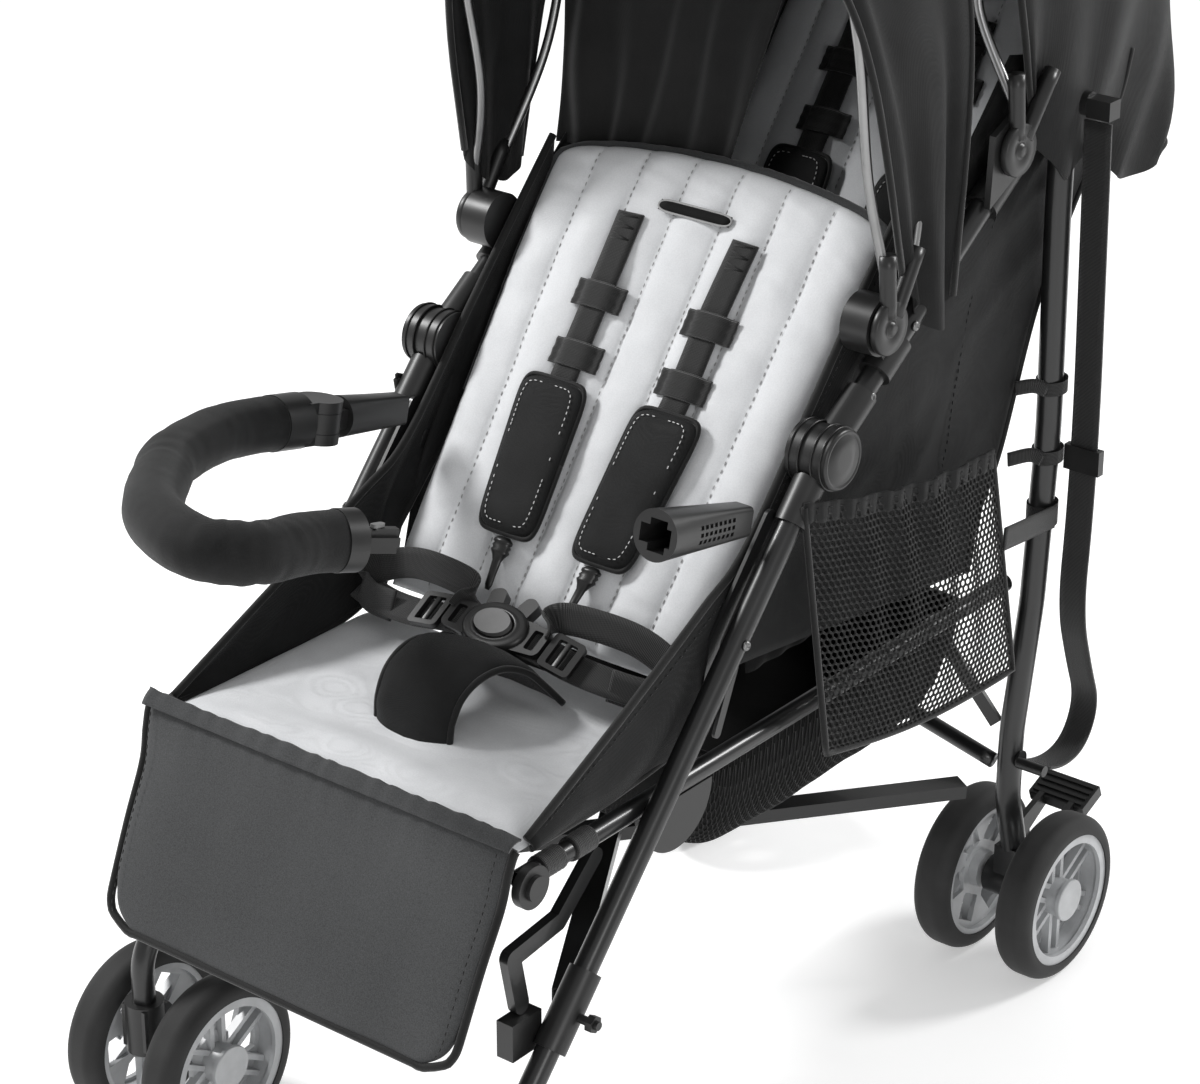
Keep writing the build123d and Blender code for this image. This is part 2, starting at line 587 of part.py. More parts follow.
def bumper_bar():
    """Rigid bar with its swivel ears at one end and the plug at the other."""
    points = [bar_point(u, v) for u, v in BAR_ROUTE]
    core = bent_tube(points, route_radii(points), TUBE_R, TUBE_WALL)
    swivel = Plane(origin=PIVOT, x_dir=(1, 0, 0), z_dir=PITCH_UP)
    ears = extrude((swivel.offset(8.4)) * Circle(19), 9) + extrude((swivel.offset(-8.4)) * Circle(19), -9)
    collar = rod(bar_point(-3, 20.5), bar_point(-3, 50), 22.5)
    neck = swivel * Pos(-2, -12, 12.9) * Box(30, 24, 9) + swivel * Pos(-2, -12, -12.9) * Box(30, 24, 9)
    pin = extrude(swivel * Circle(4.95), 17.4, both=True)
    root = collar + ears + neck + pin - rod(bar_point(-3, 23.8), bar_point(-3, 60), TUBE_R + 0.1)
    tip_collar = rod(bar_point(251.5, 256), bar_point(256, 241), 22.5)
    tip_collar -= rod(bar_point(248, 275), bar_point(252.2, 249), TUBE_R + 0.1)
    start, end = Vector(*bar_point(256.5, 240)), Vector(*bar_point(*BAR_TIP))
    plug = Plane(origin=start, x_dir=PITCH_UP, z_dir=end - start)
    run = (end - start).length
    tongue = extrude(plug * Rectangle(18, 7), run) + extrude(plug * Rectangle(7, 15), run)
    tongue -= extrude(button_plane(7.3) * RectangleRounded(5.6, 12.6, 2.2), 4)
    return [core, root, tip_collar + tongue]


def bumper_sleeve():
    points = [bar_point(u, v) for u, v in BAR_ROUTE]
    radii = route_radii(points)
    foam = bent_tube(points, radii, 22) - bent_tube(points, radii, TUBE_R + 0.15)
    foam -= rod(bar_point(-3, 0), bar_point(-3, 50.5), 30)
    return foam - rod(bar_point(251.3, 256.5), bar_point(260, 222), 30)


def bumper_button():
    """Release button set in the plug's upper face."""
    return extrude(button_plane(9.4) * RectangleRounded(5, 12, 2), 2.6)


# ---- assembly -----------------------------------------------------------------------
for label, side in SIDES.items():
    wheel_pair("front", label, side * TRACK_HALF, FRONT_AXLE_Y)
    wheel_pair("rear", label, side * TRACK_HALF, REAR_AXLE_Y)
    keep(f"caster_fork_{label}", *caster_fork(side))
    keep(f"front_leg_{label}", front_leg(side))
    keep(f"lower_fittings_{label}", *lower_fittings(side))
    keep(f"knuckle_{label}", *knuckle(side))
    keep(f"handle_tube_{label}", handle_tube(side))
    keep(f"grip_{label}", grip(side))
    keep(f"rear_leg_{label}", *rear_leg(side))
    keep(f"brake_pedal_{label}", brake_pedal(side))
    keep(f"seat_rail_{label}", seat_rail(side))
    keep(f"fold_links_{label}", *fold_links(side))
    keep(f"canopy_hinges_{label}", *canopy_hinges(side))
    keep(f"side_panel_{label}", side_panel(side))
    keep(f"side_pocket_{label}", side_pocket(side))

for which in ("a", "b"):
    keep(f"bottom_brace_{which}", *bottom_brace(which))
    keep(f"rear_brace_{which}", *rear_brace(which))
keep("lock_bar", *lock_bar())
keep("bumper_socket_left", bumper_socket_left())
keep("bumper_socket_right", bumper_socket_right())
keep("bumper_bar", *bumper_bar())
keep("bumper_sleeve", bumper_sleeve())
keep("bumper_button", bumper_button())

keep("front_seat_pan", side_plate([(-295, 375), (-292, 401), (-84, 401), (-70, 374)], -176.4, 176.4))
keep("front_backrest", backrest(FRONT_CREASE, FRONT_BACK_ANGLE, FRONT_BACK_LENGTH, SEAT_HALF, SEAT_THICK, 16))
keep("front_straps", *shoulder_straps(FRONT_CREASE, FRONT_BACK_ANGLE, 62, 335, 92, 222, 56))
keep("front_buckle", *buckle(*FRONT_BUCKLE, (17, 12)))
keep("front_buckle_button", push_button(*FRONT_BUCKLE, (16.6, 11.6)))
keep("rear_seat_pan", side_plate([(10, 408), (22, 430), (180, 430), (180, 408)], -150, 150))
keep("rear_backrest", backrest(REAR_CREASE, REAR_BACK_ANGLE, REAR_BACK_LENGTH, 150, 20, 12))
keep("rear_straps", *shoulder_straps(REAR_CREASE, REAR_BACK_ANGLE, 80, 445, 130, 300, 55))
keep("footrest_panel", footrest())
keep("front_hood", front_hood())
keep("front_hood_bows", *hood_bows(FRONT_HOOD_PIVOT, FRAME_X + 9.6, FRONT_BOWS, 196, 100))
keep("rear_hood", rear_hood())
keep("rear_hood_bows", *hood_bows(REAR_HOOD_PIVOT, FRAME_X + 16.4, REAR_BOWS, 174, 100))
keep("basket", basket())
keep("carry_strap", carry_strap())
keep("strap_hardware", *strap_hardware())

os.makedirs("parts", exist_ok=True)
for name, shape in nodes.items():
    export_step(shape, f"parts/{name}.step")
whole = Compound(children=list(nodes.values())).bounding_box()
print("nodes", len(nodes))
print("low", tuple(round(v, 2) for v in whole.min), "high", tuple(round(v, 2) for v in whole.max))
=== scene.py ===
import math

import bmesh
import bpy
from mathutils import Matrix, Vector, noise


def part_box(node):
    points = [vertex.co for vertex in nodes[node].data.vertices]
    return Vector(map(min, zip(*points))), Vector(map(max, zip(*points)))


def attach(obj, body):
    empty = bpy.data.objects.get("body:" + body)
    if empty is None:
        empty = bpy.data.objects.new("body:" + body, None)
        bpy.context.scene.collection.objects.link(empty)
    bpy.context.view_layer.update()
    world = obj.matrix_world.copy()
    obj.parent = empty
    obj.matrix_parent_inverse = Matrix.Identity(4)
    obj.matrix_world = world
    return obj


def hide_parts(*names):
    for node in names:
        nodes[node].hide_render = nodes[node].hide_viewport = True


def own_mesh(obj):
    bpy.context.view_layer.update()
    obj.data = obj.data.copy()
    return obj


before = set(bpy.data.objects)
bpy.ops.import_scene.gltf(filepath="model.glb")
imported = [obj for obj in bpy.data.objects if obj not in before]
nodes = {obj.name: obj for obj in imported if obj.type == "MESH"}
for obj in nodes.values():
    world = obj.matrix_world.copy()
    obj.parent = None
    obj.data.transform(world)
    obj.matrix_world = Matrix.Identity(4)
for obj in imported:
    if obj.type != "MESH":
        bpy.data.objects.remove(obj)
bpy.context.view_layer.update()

# The stroller faces -Y and its left side is +X. Places below are in millimetres about the middle of
# its frame, and at() turns them into the frame's metres. The seat rail says how far that middle is off.
MM = 0.001
RAIL_FRONT = -296.0
SHIFT_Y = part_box("seat_rail_left")[0].y - RAIL_FRONT * MM
SIDES = {"left": 1, "right": -1}


def at(x, y, z):
    return Vector((x * MM, y * MM + SHIFT_Y, z * MM))


# ---- camera, light, floor -------------------------------------------------------------
AZIMUTH, ELEVATION, DISTANCE = math.radians(38.81), math.radians(24.82), 2814.5
TARGET = (12.24, 0.0, 478.11)


def make_camera():
    camera = bpy.data.objects.new("camera", bpy.data.cameras.new("camera"))
    camera.data.lens, camera.data.sensor_width = 106.8, 36.0
    back = Vector((math.sin(AZIMUTH) * math.cos(ELEVATION), -math.cos(AZIMUTH) * math.cos(ELEVATION),
                   math.sin(ELEVATION)))
    camera.location = at(*TARGET) + back * DISTANCE * MM
    camera.rotation_euler = (-back).to_track_quat("-Z", "Y").to_euler()
    bpy.context.scene.collection.objects.link(camera)
    bpy.context.scene.camera = camera


def area_light(name, place, aim, size, power):
    light = bpy.data.objects.new(name, bpy.data.lights.new(name, "AREA"))
    light.data.shape, light.data.size, light.data.energy = "DISK", size, power
    light.location = place
    light.rotation_euler = (Vector(aim) - Vector(place)).to_track_quat("-Z", "Y").to_euler()
    bpy.context.scene.collection.objects.link(light)


make_camera()
area_light("key", (-2.4, -1.0, 2.7), (0, 0, 0.5), size=0.8, power=96)
area_light("fill", (3.0, -2.2, 1.6), (0, 0, 0.5), size=1.4, power=24)
area_light("rim_light", (1.8, 2.6, 2.4), (0, 0, 0.6), size=0.9, power=66)
world = bpy.data.worlds.new("studio")
world.use_nodes = True
world.node_tree.nodes["Background"].inputs["Color"].default_value = (1, 1, 1, 1)
world.node_tree.nodes["Background"].inputs["Strength"].default_value = 0.5
bpy.context.scene.world = world
bpy.context.scene.view_settings.view_transform = "Standard"


# ---- materials ------------------------------------------------------------------------
class Nodes:
    """A small helper to wire one procedural material."""

    def __init__(self, name, roughness, metallic=0.0, sheen=0.0, coat=0.0, specular=0.5):
        self.material = bpy.data.materials.new(name)
        self.material.use_nodes = True
        self.tree = self.material.node_tree
        self.shader = self.tree.nodes["Principled BSDF"]
        self.shader.inputs["Roughness"].default_value = roughness
        self.shader.inputs["Metallic"].default_value = metallic
        self.shader.inputs["Sheen Weight"].default_value = sheen
        self.shader.inputs["Sheen Roughness"].default_value = 0.4
        self.shader.inputs["Coat Weight"].default_value = coat
        self.shader.inputs["Specular IOR Level"].default_value = specular
        self.coords = self.tree.nodes.new("ShaderNodeTexCoord")

    def add(self, kind, **values):
        node = self.tree.nodes.new(kind)
        for key, value in values.items():
            if key in node.inputs.keys():
                node.inputs[key].default_value = value
            else:
                setattr(node, key, value)
        return node

    def link(self, out, into):
        self.tree.links.new(out, into)

    def noise(self, scale, detail=2.0, source="Object", rough=0.5):
        node = self.add("ShaderNodeTexNoise", Scale=scale, Detail=detail, Roughness=rough)
        self.link(self.coords.outputs[source], node.inputs["Vector"])
        return node.outputs["Fac"]

    def bands(self, scale, direction, source="Object", profile="SIN", distortion=0.0):
        node = self.add("ShaderNodeTexWave", Scale=scale, Distortion=distortion)
        node.bands_direction, node.wave_profile = direction, profile
        self.link(self.coords.outputs[source], node.inputs["Vector"])
        return node.outputs["Fac"]

    def math(self, operation, a, b):
        node = self.add("ShaderNodeMath", operation=operation)
        for slot, value in zip(node.inputs, (a, b)):
            if isinstance(value, (int, float)):
                slot.default_value = value
            else:
                self.link(value, slot)
        return node.outputs[0]

    def colour(self, fac, dark, light, low=0.3, high=0.7):
        ramp = self.add("ShaderNodeValToRGB")
        ramp.color_ramp.elements[0].position, ramp.color_ramp.elements[1].position = low, high
        ramp.color_ramp.elements[0].color, ramp.color_ramp.elements[1].color = (*dark, 1), (*light, 1)
        self.link(fac, ramp.inputs[0])
        self.link(ramp.outputs[0], self.shader.inputs["Base Color"])

    def rough(self, fac, low, high):
        span = self.add("ShaderNodeMapRange")
        span.inputs["To Min"].default_value, span.inputs["To Max"].default_value = low, high
        self.link(fac, span.inputs["Value"])
        self.link(span.outputs[0], self.shader.inputs["Roughness"])

    def bump(self, height, strength, distance):
        node = self.add("ShaderNodeBump", Strength=strength, Distance=distance)
        self.link(height, node.inputs["Height"])
        self.link(node.outputs[0], self.shader.inputs["Normal"])


def grey(value, tint=0.0):
    return (value, value * (1 + tint * 0.5), value * (1 + tint))


def fabric(name, dark, light, weave=620.0, roughness=0.72, sheen=0.25, depth=0.00025, creases=0.5):
    """Plain weave: crossed threads and soft creases, with the colour painted darker in the crease hollows as painted
    shade and a fine random grain on top.
    """
    m = Nodes(name, roughness, sheen=sheen, specular=0.15)
    threads = m.math("MULTIPLY", m.bands(weave, "X"), m.bands(weave, "Z"))
    threads = m.math("ADD", threads, m.math("MULTIPLY", m.bands(weave, "Y"), 0.5))
    soft = m.noise(28, 3)
    grain = m.noise(900, 2)
    # painted shade: the colour mixes the crease noise (soft) with the fine grain, so the crease hollows are painted
    # darker; the grain part is random tone
    m.colour(m.math("ADD", m.math("MULTIPLY", soft, 0.5), m.math("MULTIPLY", grain, 0.5)), dark, light)
    height = m.math("ADD", m.math("MULTIPLY", threads, 0.5), m.math("MULTIPLY", soft, creases * 4))
    m.bump(height, 0.5, depth)
    m.rough(grain, roughness - 0.08, roughness + 0.08)
    return m.material


def heather(name, dark, light):
    """Melange cloth: light and dark fibres mixed in the yarn."""
    m = Nodes(name, 0.85, sheen=0.2, specular=0.2)
    flecks = m.noise(1100, 4, rough=0.6)
    mixed = m.math("ADD", m.math("MULTIPLY", flecks, 0.8), m.math("MULTIPLY", m.noise(9, 2), 0.2))
    m.colour(mixed, dark, light, 0.3, 0.75)
    m.bump(m.math("ADD", flecks, m.math("MULTIPLY", m.noise(30, 2), 3.0)), 0.3, 0.0002)
    return m.material


def webbing(name, value):
    """Ribbed strap: cross ribs along its length from the ribbon's own lengthwise coordinate."""
    m = Nodes(name, 0.6, sheen=0.25, specular=0.35)
    ribs = m.bands(260, "Y", "UV")
    twill = m.bands(420, "DIAGONAL", "UV")
    mixed = m.math("ADD", m.math("MULTIPLY", ribs, 0.6), m.math("MULTIPLY", twill, 0.4))
    m.colour(mixed, grey(value * 0.5), grey(value * 1.7), 0.2, 0.9)
    m.bump(m.math("ADD", ribs, m.math("MULTIPLY", twill, 0.4)), 0.8, 0.0005)
    return m.material


def plastic(name, value, roughness=0.42, tint=0.0, grain=1500.0, strength=0.25):
    m = Nodes(name, roughness, specular=0.5)
    fine = m.noise(grain, 2)
    wear = m.noise(35, 4)
    m.colour(wear, grey(value * 0.82, tint), grey(value * 1.15, tint))
    m.rough(wear, roughness - 0.07, roughness + 0.09)
    m.bump(fine, strength, 0.0001)
    return m.material


def paint(name, value):
    m = Nodes(name, 0.32, coat=0.15, specular=0.5)
    flow = m.noise(220, 2)
    wear = m.noise(18, 4)
    m.colour(wear, grey(value * 0.8, 0.04), grey(value * 1.25, 0.04))
    m.rough(wear, 0.26, 0.4)
    m.bump(flow, 0.12, 0.00012)
    return m.material


def metal(name, value, roughness):
    m = Nodes(name, roughness, metallic=1.0)
    m.colour(m.noise(60, 3), grey(value * 0.9), grey(value * 1.05))
    m.bump(m.bands(900, "Z", distortion=3.0), 0.15, 0.0001)
    return m.material


def tyre_rubber(name):
    m = Nodes(name, 0.72, sheen=0.05, specular=0.35)
    dust = m.noise(24, 5)
    m.colour(dust, grey(0.018), grey(0.034))
    m.rough(dust, 0.62, 0.85)
    m.bump(m.noise(700, 3), 0.35, 0.00025)
    return m.material


def foam(name):
    m = Nodes(name, 0.9, specular=0.2)
    cells = m.add("ShaderNodeTexVoronoi", Scale=700)
    m.link(m.coords.outputs["Object"], cells.inputs["Vector"])
    m.colour(cells.outputs["Distance"], grey(0.035), grey(0.015))
    m.bump(cells.outputs["Distance"], 0.6, 0.0005)
    return m.material


BLACK = fabric("black_cloth", grey(0.006), grey(0.015, 0.04), roughness=0.6, sheen=0.08, depth=0.0006,
               creases=0.7)
BLACK_SOFT = fabric("black_lining", grey(0.006), grey(0.011), weave=500, roughness=0.85, sheen=0.05)
SHEER = fabric("sheer_black", grey(0.012), grey(0.02), weave=350, roughness=0.85, sheen=0.3)
PIPING = fabric("black_piping", grey(0.008), grey(0.016), weave=900, roughness=0.55)
SILVER = fabric("silver_quilt", (0.64, 0.65, 0.665), (0.76, 0.77, 0.785), weave=560, roughness=0.6, sheen=0.2,
                depth=0.0005, creases=0.7)
CHARCOAL = heather("charcoal_heather", grey(0.034, 0.05), grey(0.085, 0.05))
WEBBING = webbing("black_webbing", 0.016)
NET = fabric("black_net", grey(0.012), grey(0.03), weave=900, roughness=0.6, sheen=0.1)
PLASTIC = plastic("black_plastic", 0.014, 0.37)
PLASTIC_DARK = plastic("black_plastic_fine", 0.009, 0.33, grain=2200)
BUTTON_GREY = plastic("button_grey", 0.16, 0.38)
RIM_GREY = plastic("rim_grey", 0.42, 0.33, tint=0.04, strength=0.1)
FRAME_PAINT = paint("satin_black_paint", 0.010)
TYRE = tyre_rubber("tyre_rubber")
FOAM = foam("grip_foam")
ALLOY = metal("drawn_aluminium", 0.3, 0.32)
STEEL = metal("dark_zinc_steel", 0.2, 0.35)
THREAD = fabric("white_thread", grey(0.6), grey(0.75), weave=1500, roughness=0.7)
GREY_THREAD = fabric("grey_thread", grey(0.3), grey(0.42), weave=1500, roughness=0.7)
FLOOR = Nodes("studio_floor", 0.6)
FLOOR.colour(FLOOR.noise(3, 2), grey(0.89), grey(0.9))
FLOOR = FLOOR.material
FLOOR.node_tree.nodes["Principled BSDF"].inputs["Emission Color"].default_value = (1, 1, 1, 1)
FLOOR.node_tree.nodes["Principled BSDF"].inputs["Emission Strength"].default_value = 0.36


# ---- mesh helpers ---------------------------------------------------------------------
def new_piece(name, points, faces, material, body, slot, smooth=True, replaces=()):
    mesh = bpy.data.meshes.new(name)
    mesh.from_pydata([tuple(p) for p in points], [], faces)
    mesh.validate()
    for polygon in mesh.polygons:
        polygon.use_smooth = smooth
    piece = bpy.data.objects.new(name, mesh)
    mesh.materials.append(material)
    bpy.context.scene.collection.objects.link(piece)
    return settle(piece, body, slot, replaces)


def settle(piece, body, slot, replaces=()):
    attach(piece, body)
    if replaces:
        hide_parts(*replaces)
    return piece


def modifier(piece, kind, **values):
    mod = piece.modifiers.new(kind.lower(), kind)
    for key, value in values.items():
        setattr(mod, key, value)
    return mod


def around(count, close=False):
    """Angles round a full turn."""
    return [k / count * math.tau for k in range(count + close)]


def blunt(value, power):
    """A sine or cosine bent towards a square, its sign kept."""
    return math.copysign(abs(value) ** power, value)


def shoulder(value, power, root):
    """1 in the middle, falling to 0 at -1 and 1."""
    return max(0.0, 1 - abs(value) ** power) ** root


def bake(piece):
    """Replace the piece's mesh by what its modifiers make of it."""
    bpy.context.view_layer.update()
    graph = bpy.context.evaluated_depsgraph_get()
    made = bpy.data.meshes.new_from_object(piece.evaluated_get(graph))
    piece.modifiers.clear()
    piece.data = made
    return piece


def grid_piece(name, rows, material, body, slot, thick=0.0, level=0, closed=False, **more):
    """A sheet through rows of points, with lengthwise and crosswise UVs in metres."""
    width = len(rows[0])
    points = [p for row in rows for p in row]
    faces = []
    for j in range(len(rows) - 1):
        for i in range(width if closed else width - 1):
            k = (i + 1) % width
            faces.append((j * width + i, j * width + k, (j + 1) * width + k, (j + 1) * width + i))
    piece = new_piece(name, points, faces, material, body, slot, **more)
    across = [0.0]
    for a, b in zip(rows[0], rows[0][1:]):
        across.append(across[-1] + (Vector(b) - Vector(a)).length)
    along = [0.0]
    for a, b in zip(rows, rows[1:]):
        along.append(along[-1] + (Vector(b[0]) - Vector(a[0])).length)
    layer = piece.data.uv_layers.new(name="UVMap")
    for loop in piece.data.loops:
        j, i = divmod(loop.vertex_index, width)
        layer.data[loop.index].uv = (across[i], along[j])
    if thick:
        modifier(piece, "SOLIDIFY", thickness=thick, offset=0.0)
    if level:
        modifier(piece, "SUBSURF", levels=level, render_levels=level)
    if thick or level:
        bake(piece)
    return piece


def smooth_line(points, count):
    """count points on a Catmull-Rom curve through the given ones."""
    points = [Vector(p) for p in points]
    ends = [points[0] * 2 - points[1], *points, points[-1] * 2 - points[-2]]
    made = []
    for n in range(count):
        t = n / (count - 1) * (len(points) - 1)
        i = min(int(t), len(points) - 2)
        f = t - i
        a, b, c, d = ends[i:i + 4]
        made.append(0.5 * (2 * b + (c - a) * f + (2 * a - 5 * b + 4 * c - d) * f * f
                           + (3 * b - a - 3 * c + d) * f ** 3))
    return made


def tube(name, points, radius, material, body, slot, sides=12, count=0, wrinkle=None, **more):
    """A round tube along points; wrinkle(t, angle) scales its radius."""
    line = smooth_line(points, count) if count else [Vector(p) for p in points]
    rows, side = [], None
    for n, p in enumerate(line):
        ahead = (line[min(n + 1, len(line) - 1)] - line[max(n - 1, 0)]).normalized()
        if side is None:
            side = ahead.orthogonal().normalized()
        side = (side - ahead * side.dot(ahead)).normalized()
        up = ahead.cross(side)
        ring = []
        for angle in around(sides):
            r = radius * (wrinkle(n / (len(line) - 1), angle) if wrinkle else 1.0)
            ring.append(p + (side * math.cos(angle) + up * math.sin(angle)) * r)
        rows.append(ring)
    piece = grid_piece(name, rows, material, body, slot, closed=True, **more)
    fill_ends(piece)
    return piece


def turned(name, side, profile, centre, sides, *looks):
    """A round piece on a sideways axis: profile is (radius, x) rings about the centre (y, z)."""
    rings = [[at(side * x, centre[0] + r * math.cos(a), centre[1] + r * math.sin(a)) for a in around(sides)]
             for r, x in profile]
    return fill_ends(grid_piece(name, rings, *looks, closed=True))


def piping(name, line, radius, body, sides=8):
    return tube(name, line, radius, PIPING, body, "fabric_black", sides=sides)


def fill_ends(piece):
    shape = bmesh.new()
    shape.from_mesh(piece.data)
    bmesh.ops.holes_fill(shape, edges=[e for e in shape.edges if e.is_boundary], sides=0)
    bmesh.ops.recalc_face_normals(shape, faces=shape.faces)
    shape.to_mesh(piece.data)
    shape.free()
    return piece


def ribbon(name, points, across, width, thick, material, body, slot, count=0, **more):
    """Flat webbing along points, its width lying along the across vector."""
    line = smooth_line(points, count) if count else [Vector(p) for p in points]
    across = Vector(across).normalized()
    rows = []
    for n, p in enumerate(line):
        ahead = (line[min(n + 1, len(line) - 1)] - line[max(n - 1, 0)]).normalized()
        side = (across - ahead * across.dot(ahead)).normalized() * width / 2
        rows.append([p + side * s for s in (-1, -0.5, 0, 0.5, 1)])
    return grid_piece(name, rows, material, body, slot, thick=thick, **more)


def block(name, corner_points, material, body, slot, bevel=0.002, segments=3, **more):
    """A solid with eight corners, its edges rounded."""
    faces = [(0, 1, 2, 3), (7, 6, 5, 4), (0, 4, 5, 1), (1, 5, 6, 2), (2, 6, 7, 3), (3, 7, 4, 0)]
    piece = new_piece(name, corner_points, faces, material, body, slot, **more)
    modifier(piece, "BEVEL", width=bevel, segments=segments)
    return bake(piece)


def oriented_box(name, centre, size, turn, material, body, slot, bevel=0.002, **more):
    """A rounded box of that size in millimetres, turned by a matrix about its centre."""
    hx, hy, hz = (s / 2 * MM for s in size)
    corners = [(-hx, -hy, -hz), (hx, -hy, -hz), (hx, hy, -hz), (-hx, hy, -hz),
               (-hx, -hy, hz), (hx, -hy, hz), (hx, hy, hz), (-hx, hy, hz)]
    corners = [Vector(centre) + turn @ Vector(c) for c in corners]
    return block(name, corners, material, body, slot, bevel=bevel, **more)


def plate(name, outline, plane, thick, material, body, slot, bevel=0.001, hole=None, smooth=False, **more):
    """A flat shape: outline points in millimetres on a plane given as origin, across and up vectors."""
    origin, across, up = (Vector(v) for v in plane)
    normal = across.cross(up).normalized()
    shape = bmesh.new()
    loops = [outline] if hole is None else [outline, hole]
    edges = []
    for loop in loops:
        ring = [shape.verts.new(origin + across * a * MM + up * b * MM) for a, b in loop]
        edges += [shape.edges.new((ring[i], ring[(i + 1) % len(ring)])) for i in range(len(ring))]
    bmesh.ops.triangle_fill(shape, edges=edges, use_beauty=True)
    bmesh.ops.recalc_face_normals(shape, faces=shape.faces)
    made = bmesh.ops.extrude_face_region(shape, geom=shape.faces[:])
    lifted = [v for v in made["geom"] if isinstance(v, bmesh.types.BMVert)]
    bmesh.ops.translate(shape, vec=normal * thick, verts=lifted)
    bmesh.ops.recalc_face_normals(shape, faces=shape.faces)
    mesh = bpy.data.meshes.new(name)
    shape.to_mesh(mesh)
    shape.free()
    piece = bpy.data.objects.new(name, mesh)
    mesh.materials.append(material)
    bpy.context.scene.collection.objects.link(piece)
    if bevel:
        modifier(piece, "BEVEL", width=bevel, segments=2, limit_method="ANGLE", angle_limit=0.9)
        bake(piece)
    for polygon in piece.data.polygons:
        polygon.use_smooth = smooth
    return settle(piece, body, slot, **more)


def rounded(points, radius, steps=6):
    """An outline with its corners rounded."""
    made = []
    for n, p in enumerate(points):
        before, after = Vector(points[n - 1]), Vector(points[(n + 1) % len(points)])
        p = Vector(p)
        a, b = (before - p), (after - p)
        reach = min(radius, a.length * 0.45, b.length * 0.45)
        start, end = p + a.normalized() * reach, p + b.normalized() * reach
        for k in range(steps + 1):
            t = k / steps
            made.append(tuple(start * (1 - t) ** 2 + p * 2 * t * (1 - t) + end * t * t))
    return made


# ---- padded cloth ----------------------------------------------------------------------
FOLD_KEEP = 0.48               # folded width over the open one, inside the side cloths
HOOD_KEEP = {"front": 0.592, "rear": 0.6}


def folds(piece, keep=FOLD_KEEP):
    """Gives the piece a mesh of its own."""
    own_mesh(piece)
    return piece


# ---- floor ------------------------------------------------------------------------------
floor_mesh = bpy.data.meshes.new("floor")
floor_mesh.from_pydata([(-9, -9, 0), (9, -9, 0), (9, 9, 0), (-9, 9, 0)], [], [(0, 1, 2, 3)])
floor_mesh.materials.append(FLOOR)
floor = bpy.data.objects.new("floor", floor_mesh)
bpy.context.scene.collection.objects.link(floor)

# ---- CAD nodes that stay, with their own materials ----------------------------------------
def dress(name, material):
    node = nodes[name]
    node.data.materials.clear()
    node.data.materials.append(material)
    for polygon in node.data.polygons:
        polygon.material_index = 0


for label in SIDES:
    for name in ("front_leg", "handle_tube", "rear_leg", "seat_rail", "fold_links"):
        dress(f"{name}_{label}", FRAME_PAINT)
    for name in ("lower_fittings", "knuckle", "canopy_hinges", "bumper_socket", "caster_fork", "brake_pedal"):
        dress(f"{name}_{label}", PLASTIC)
    dress(f"grip_{label}", FOAM)
    for place in ("front", "rear"):
        dress(f"tyres_{place}_{label}", TYRE)
        dress(f"rims_{place}_{label}", RIM_GREY)
for name in ("bottom_brace_a", "bottom_brace_b", "rear_brace_a", "rear_brace_b"):
    dress(name, FRAME_PAINT)
for name in ("strap_hardware", "bumper_bar"):
    dress(name, PLASTIC)
for name in ("bumper_button", "front_buckle_button"):
    dress(name, BUTTON_GREY)


# ---- soft goods: shared forms ----------------------------------------------------------
def leaning(crease, angle):
    """Places on a backrest: across it, up its slope from the crease, and off its face."""
    s, c = math.sin(math.radians(angle)), math.cos(math.radians(angle))

    def place(u, v, h):
        return at(u, crease[0] + v * c - h * s, crease[1] + v * s + h * c)

    return place


def quilt(name, place, half, length, thick, channels, rise, crown, material, body, slot, node, round_top=8.0,
          sag=0.0, wave=1.0, columns=134, rows=90):
    """A padded panel with sewn channels along it. half(t) is its half width at t, 0 to 1 up its length."""
    def top_end(s):
        return length + crown * (1 - s * s) - round_top * abs(s) ** 14

    def height(s, t):
        channel = (s + 1) / 2 * channels
        near = abs(math.sin(math.pi * channel))
        billow = rise * near ** 0.5 if channels > 1 else rise * (1 - abs(s) ** 3)
        v = t * length
        lobe = math.floor(channel) * 3.1
        seamed = (1 - near) ** 1.5 if channels > 1 else 0.0
        pucker = noise.noise(Vector((channel * 1.3 + lobe, v * 0.03, 3.7))) * 3.0
        fine = (channel * 0.7 + lobe, v * 0.11 + s * 3) if channels > 1 else (s * 4.5, v * 0.03)
        pucker += noise.noise(Vector((*fine, 9.1))) * (1.3 + 2.0 * seamed)
        edge = shoulder(s, 10, 0.5) * shoulder(2 * t - 1, 22, 0.5)
        dip = sag * math.sin(math.pi * t) * (1 - s ** 4)
        return (billow + pucker * wave * (0.3 + near * 0.7)) * edge - thick * 0.5 * (1 - edge) - dip

    rings = []
    back = 14
    for j in range(rows):
        t = 0.5 - 0.5 * math.cos(math.pi * j / (rows - 1))
        t = 0.5 * t + 0.5 * j / (rows - 1)
        ring = []
        for i in range(columns):
            s = -1 + 2 * i / (columns - 1)
            s = 0.82 * s + 0.18 * math.sin(s * math.pi / 2)
            ring.append(place(s * half(t), t * top_end(s), height(s, t)))
        for i in range(back):
            s = 1 - 2 * (i + 0.5) / back
            edge = shoulder(s, 8, 0.5) * shoulder(2 * t - 1, 22, 0.5)
            under = -thick * 0.5 - thick * 0.5 * edge - sag * 0.8 * math.sin(math.pi * t)
            ring.append(place(s * half(t) * 0.995, t * top_end(s), under))
        rings.append(ring)
    piece = grid_piece(name, rings, material, body, slot, closed=True, replaces=(node,))
    piece.data.materials.append(BLACK_SOFT)
    for polygon in piece.data.polygons:
        if min(v % (columns + back) for v in polygon.vertices) >= columns - 1:
            polygon.material_index = 1
    fill_ends(piece)
    folds(piece)

    def surface(s, t, off):
        return place(s * half(t), t * top_end(s), height(s, t) + off)

    return surface


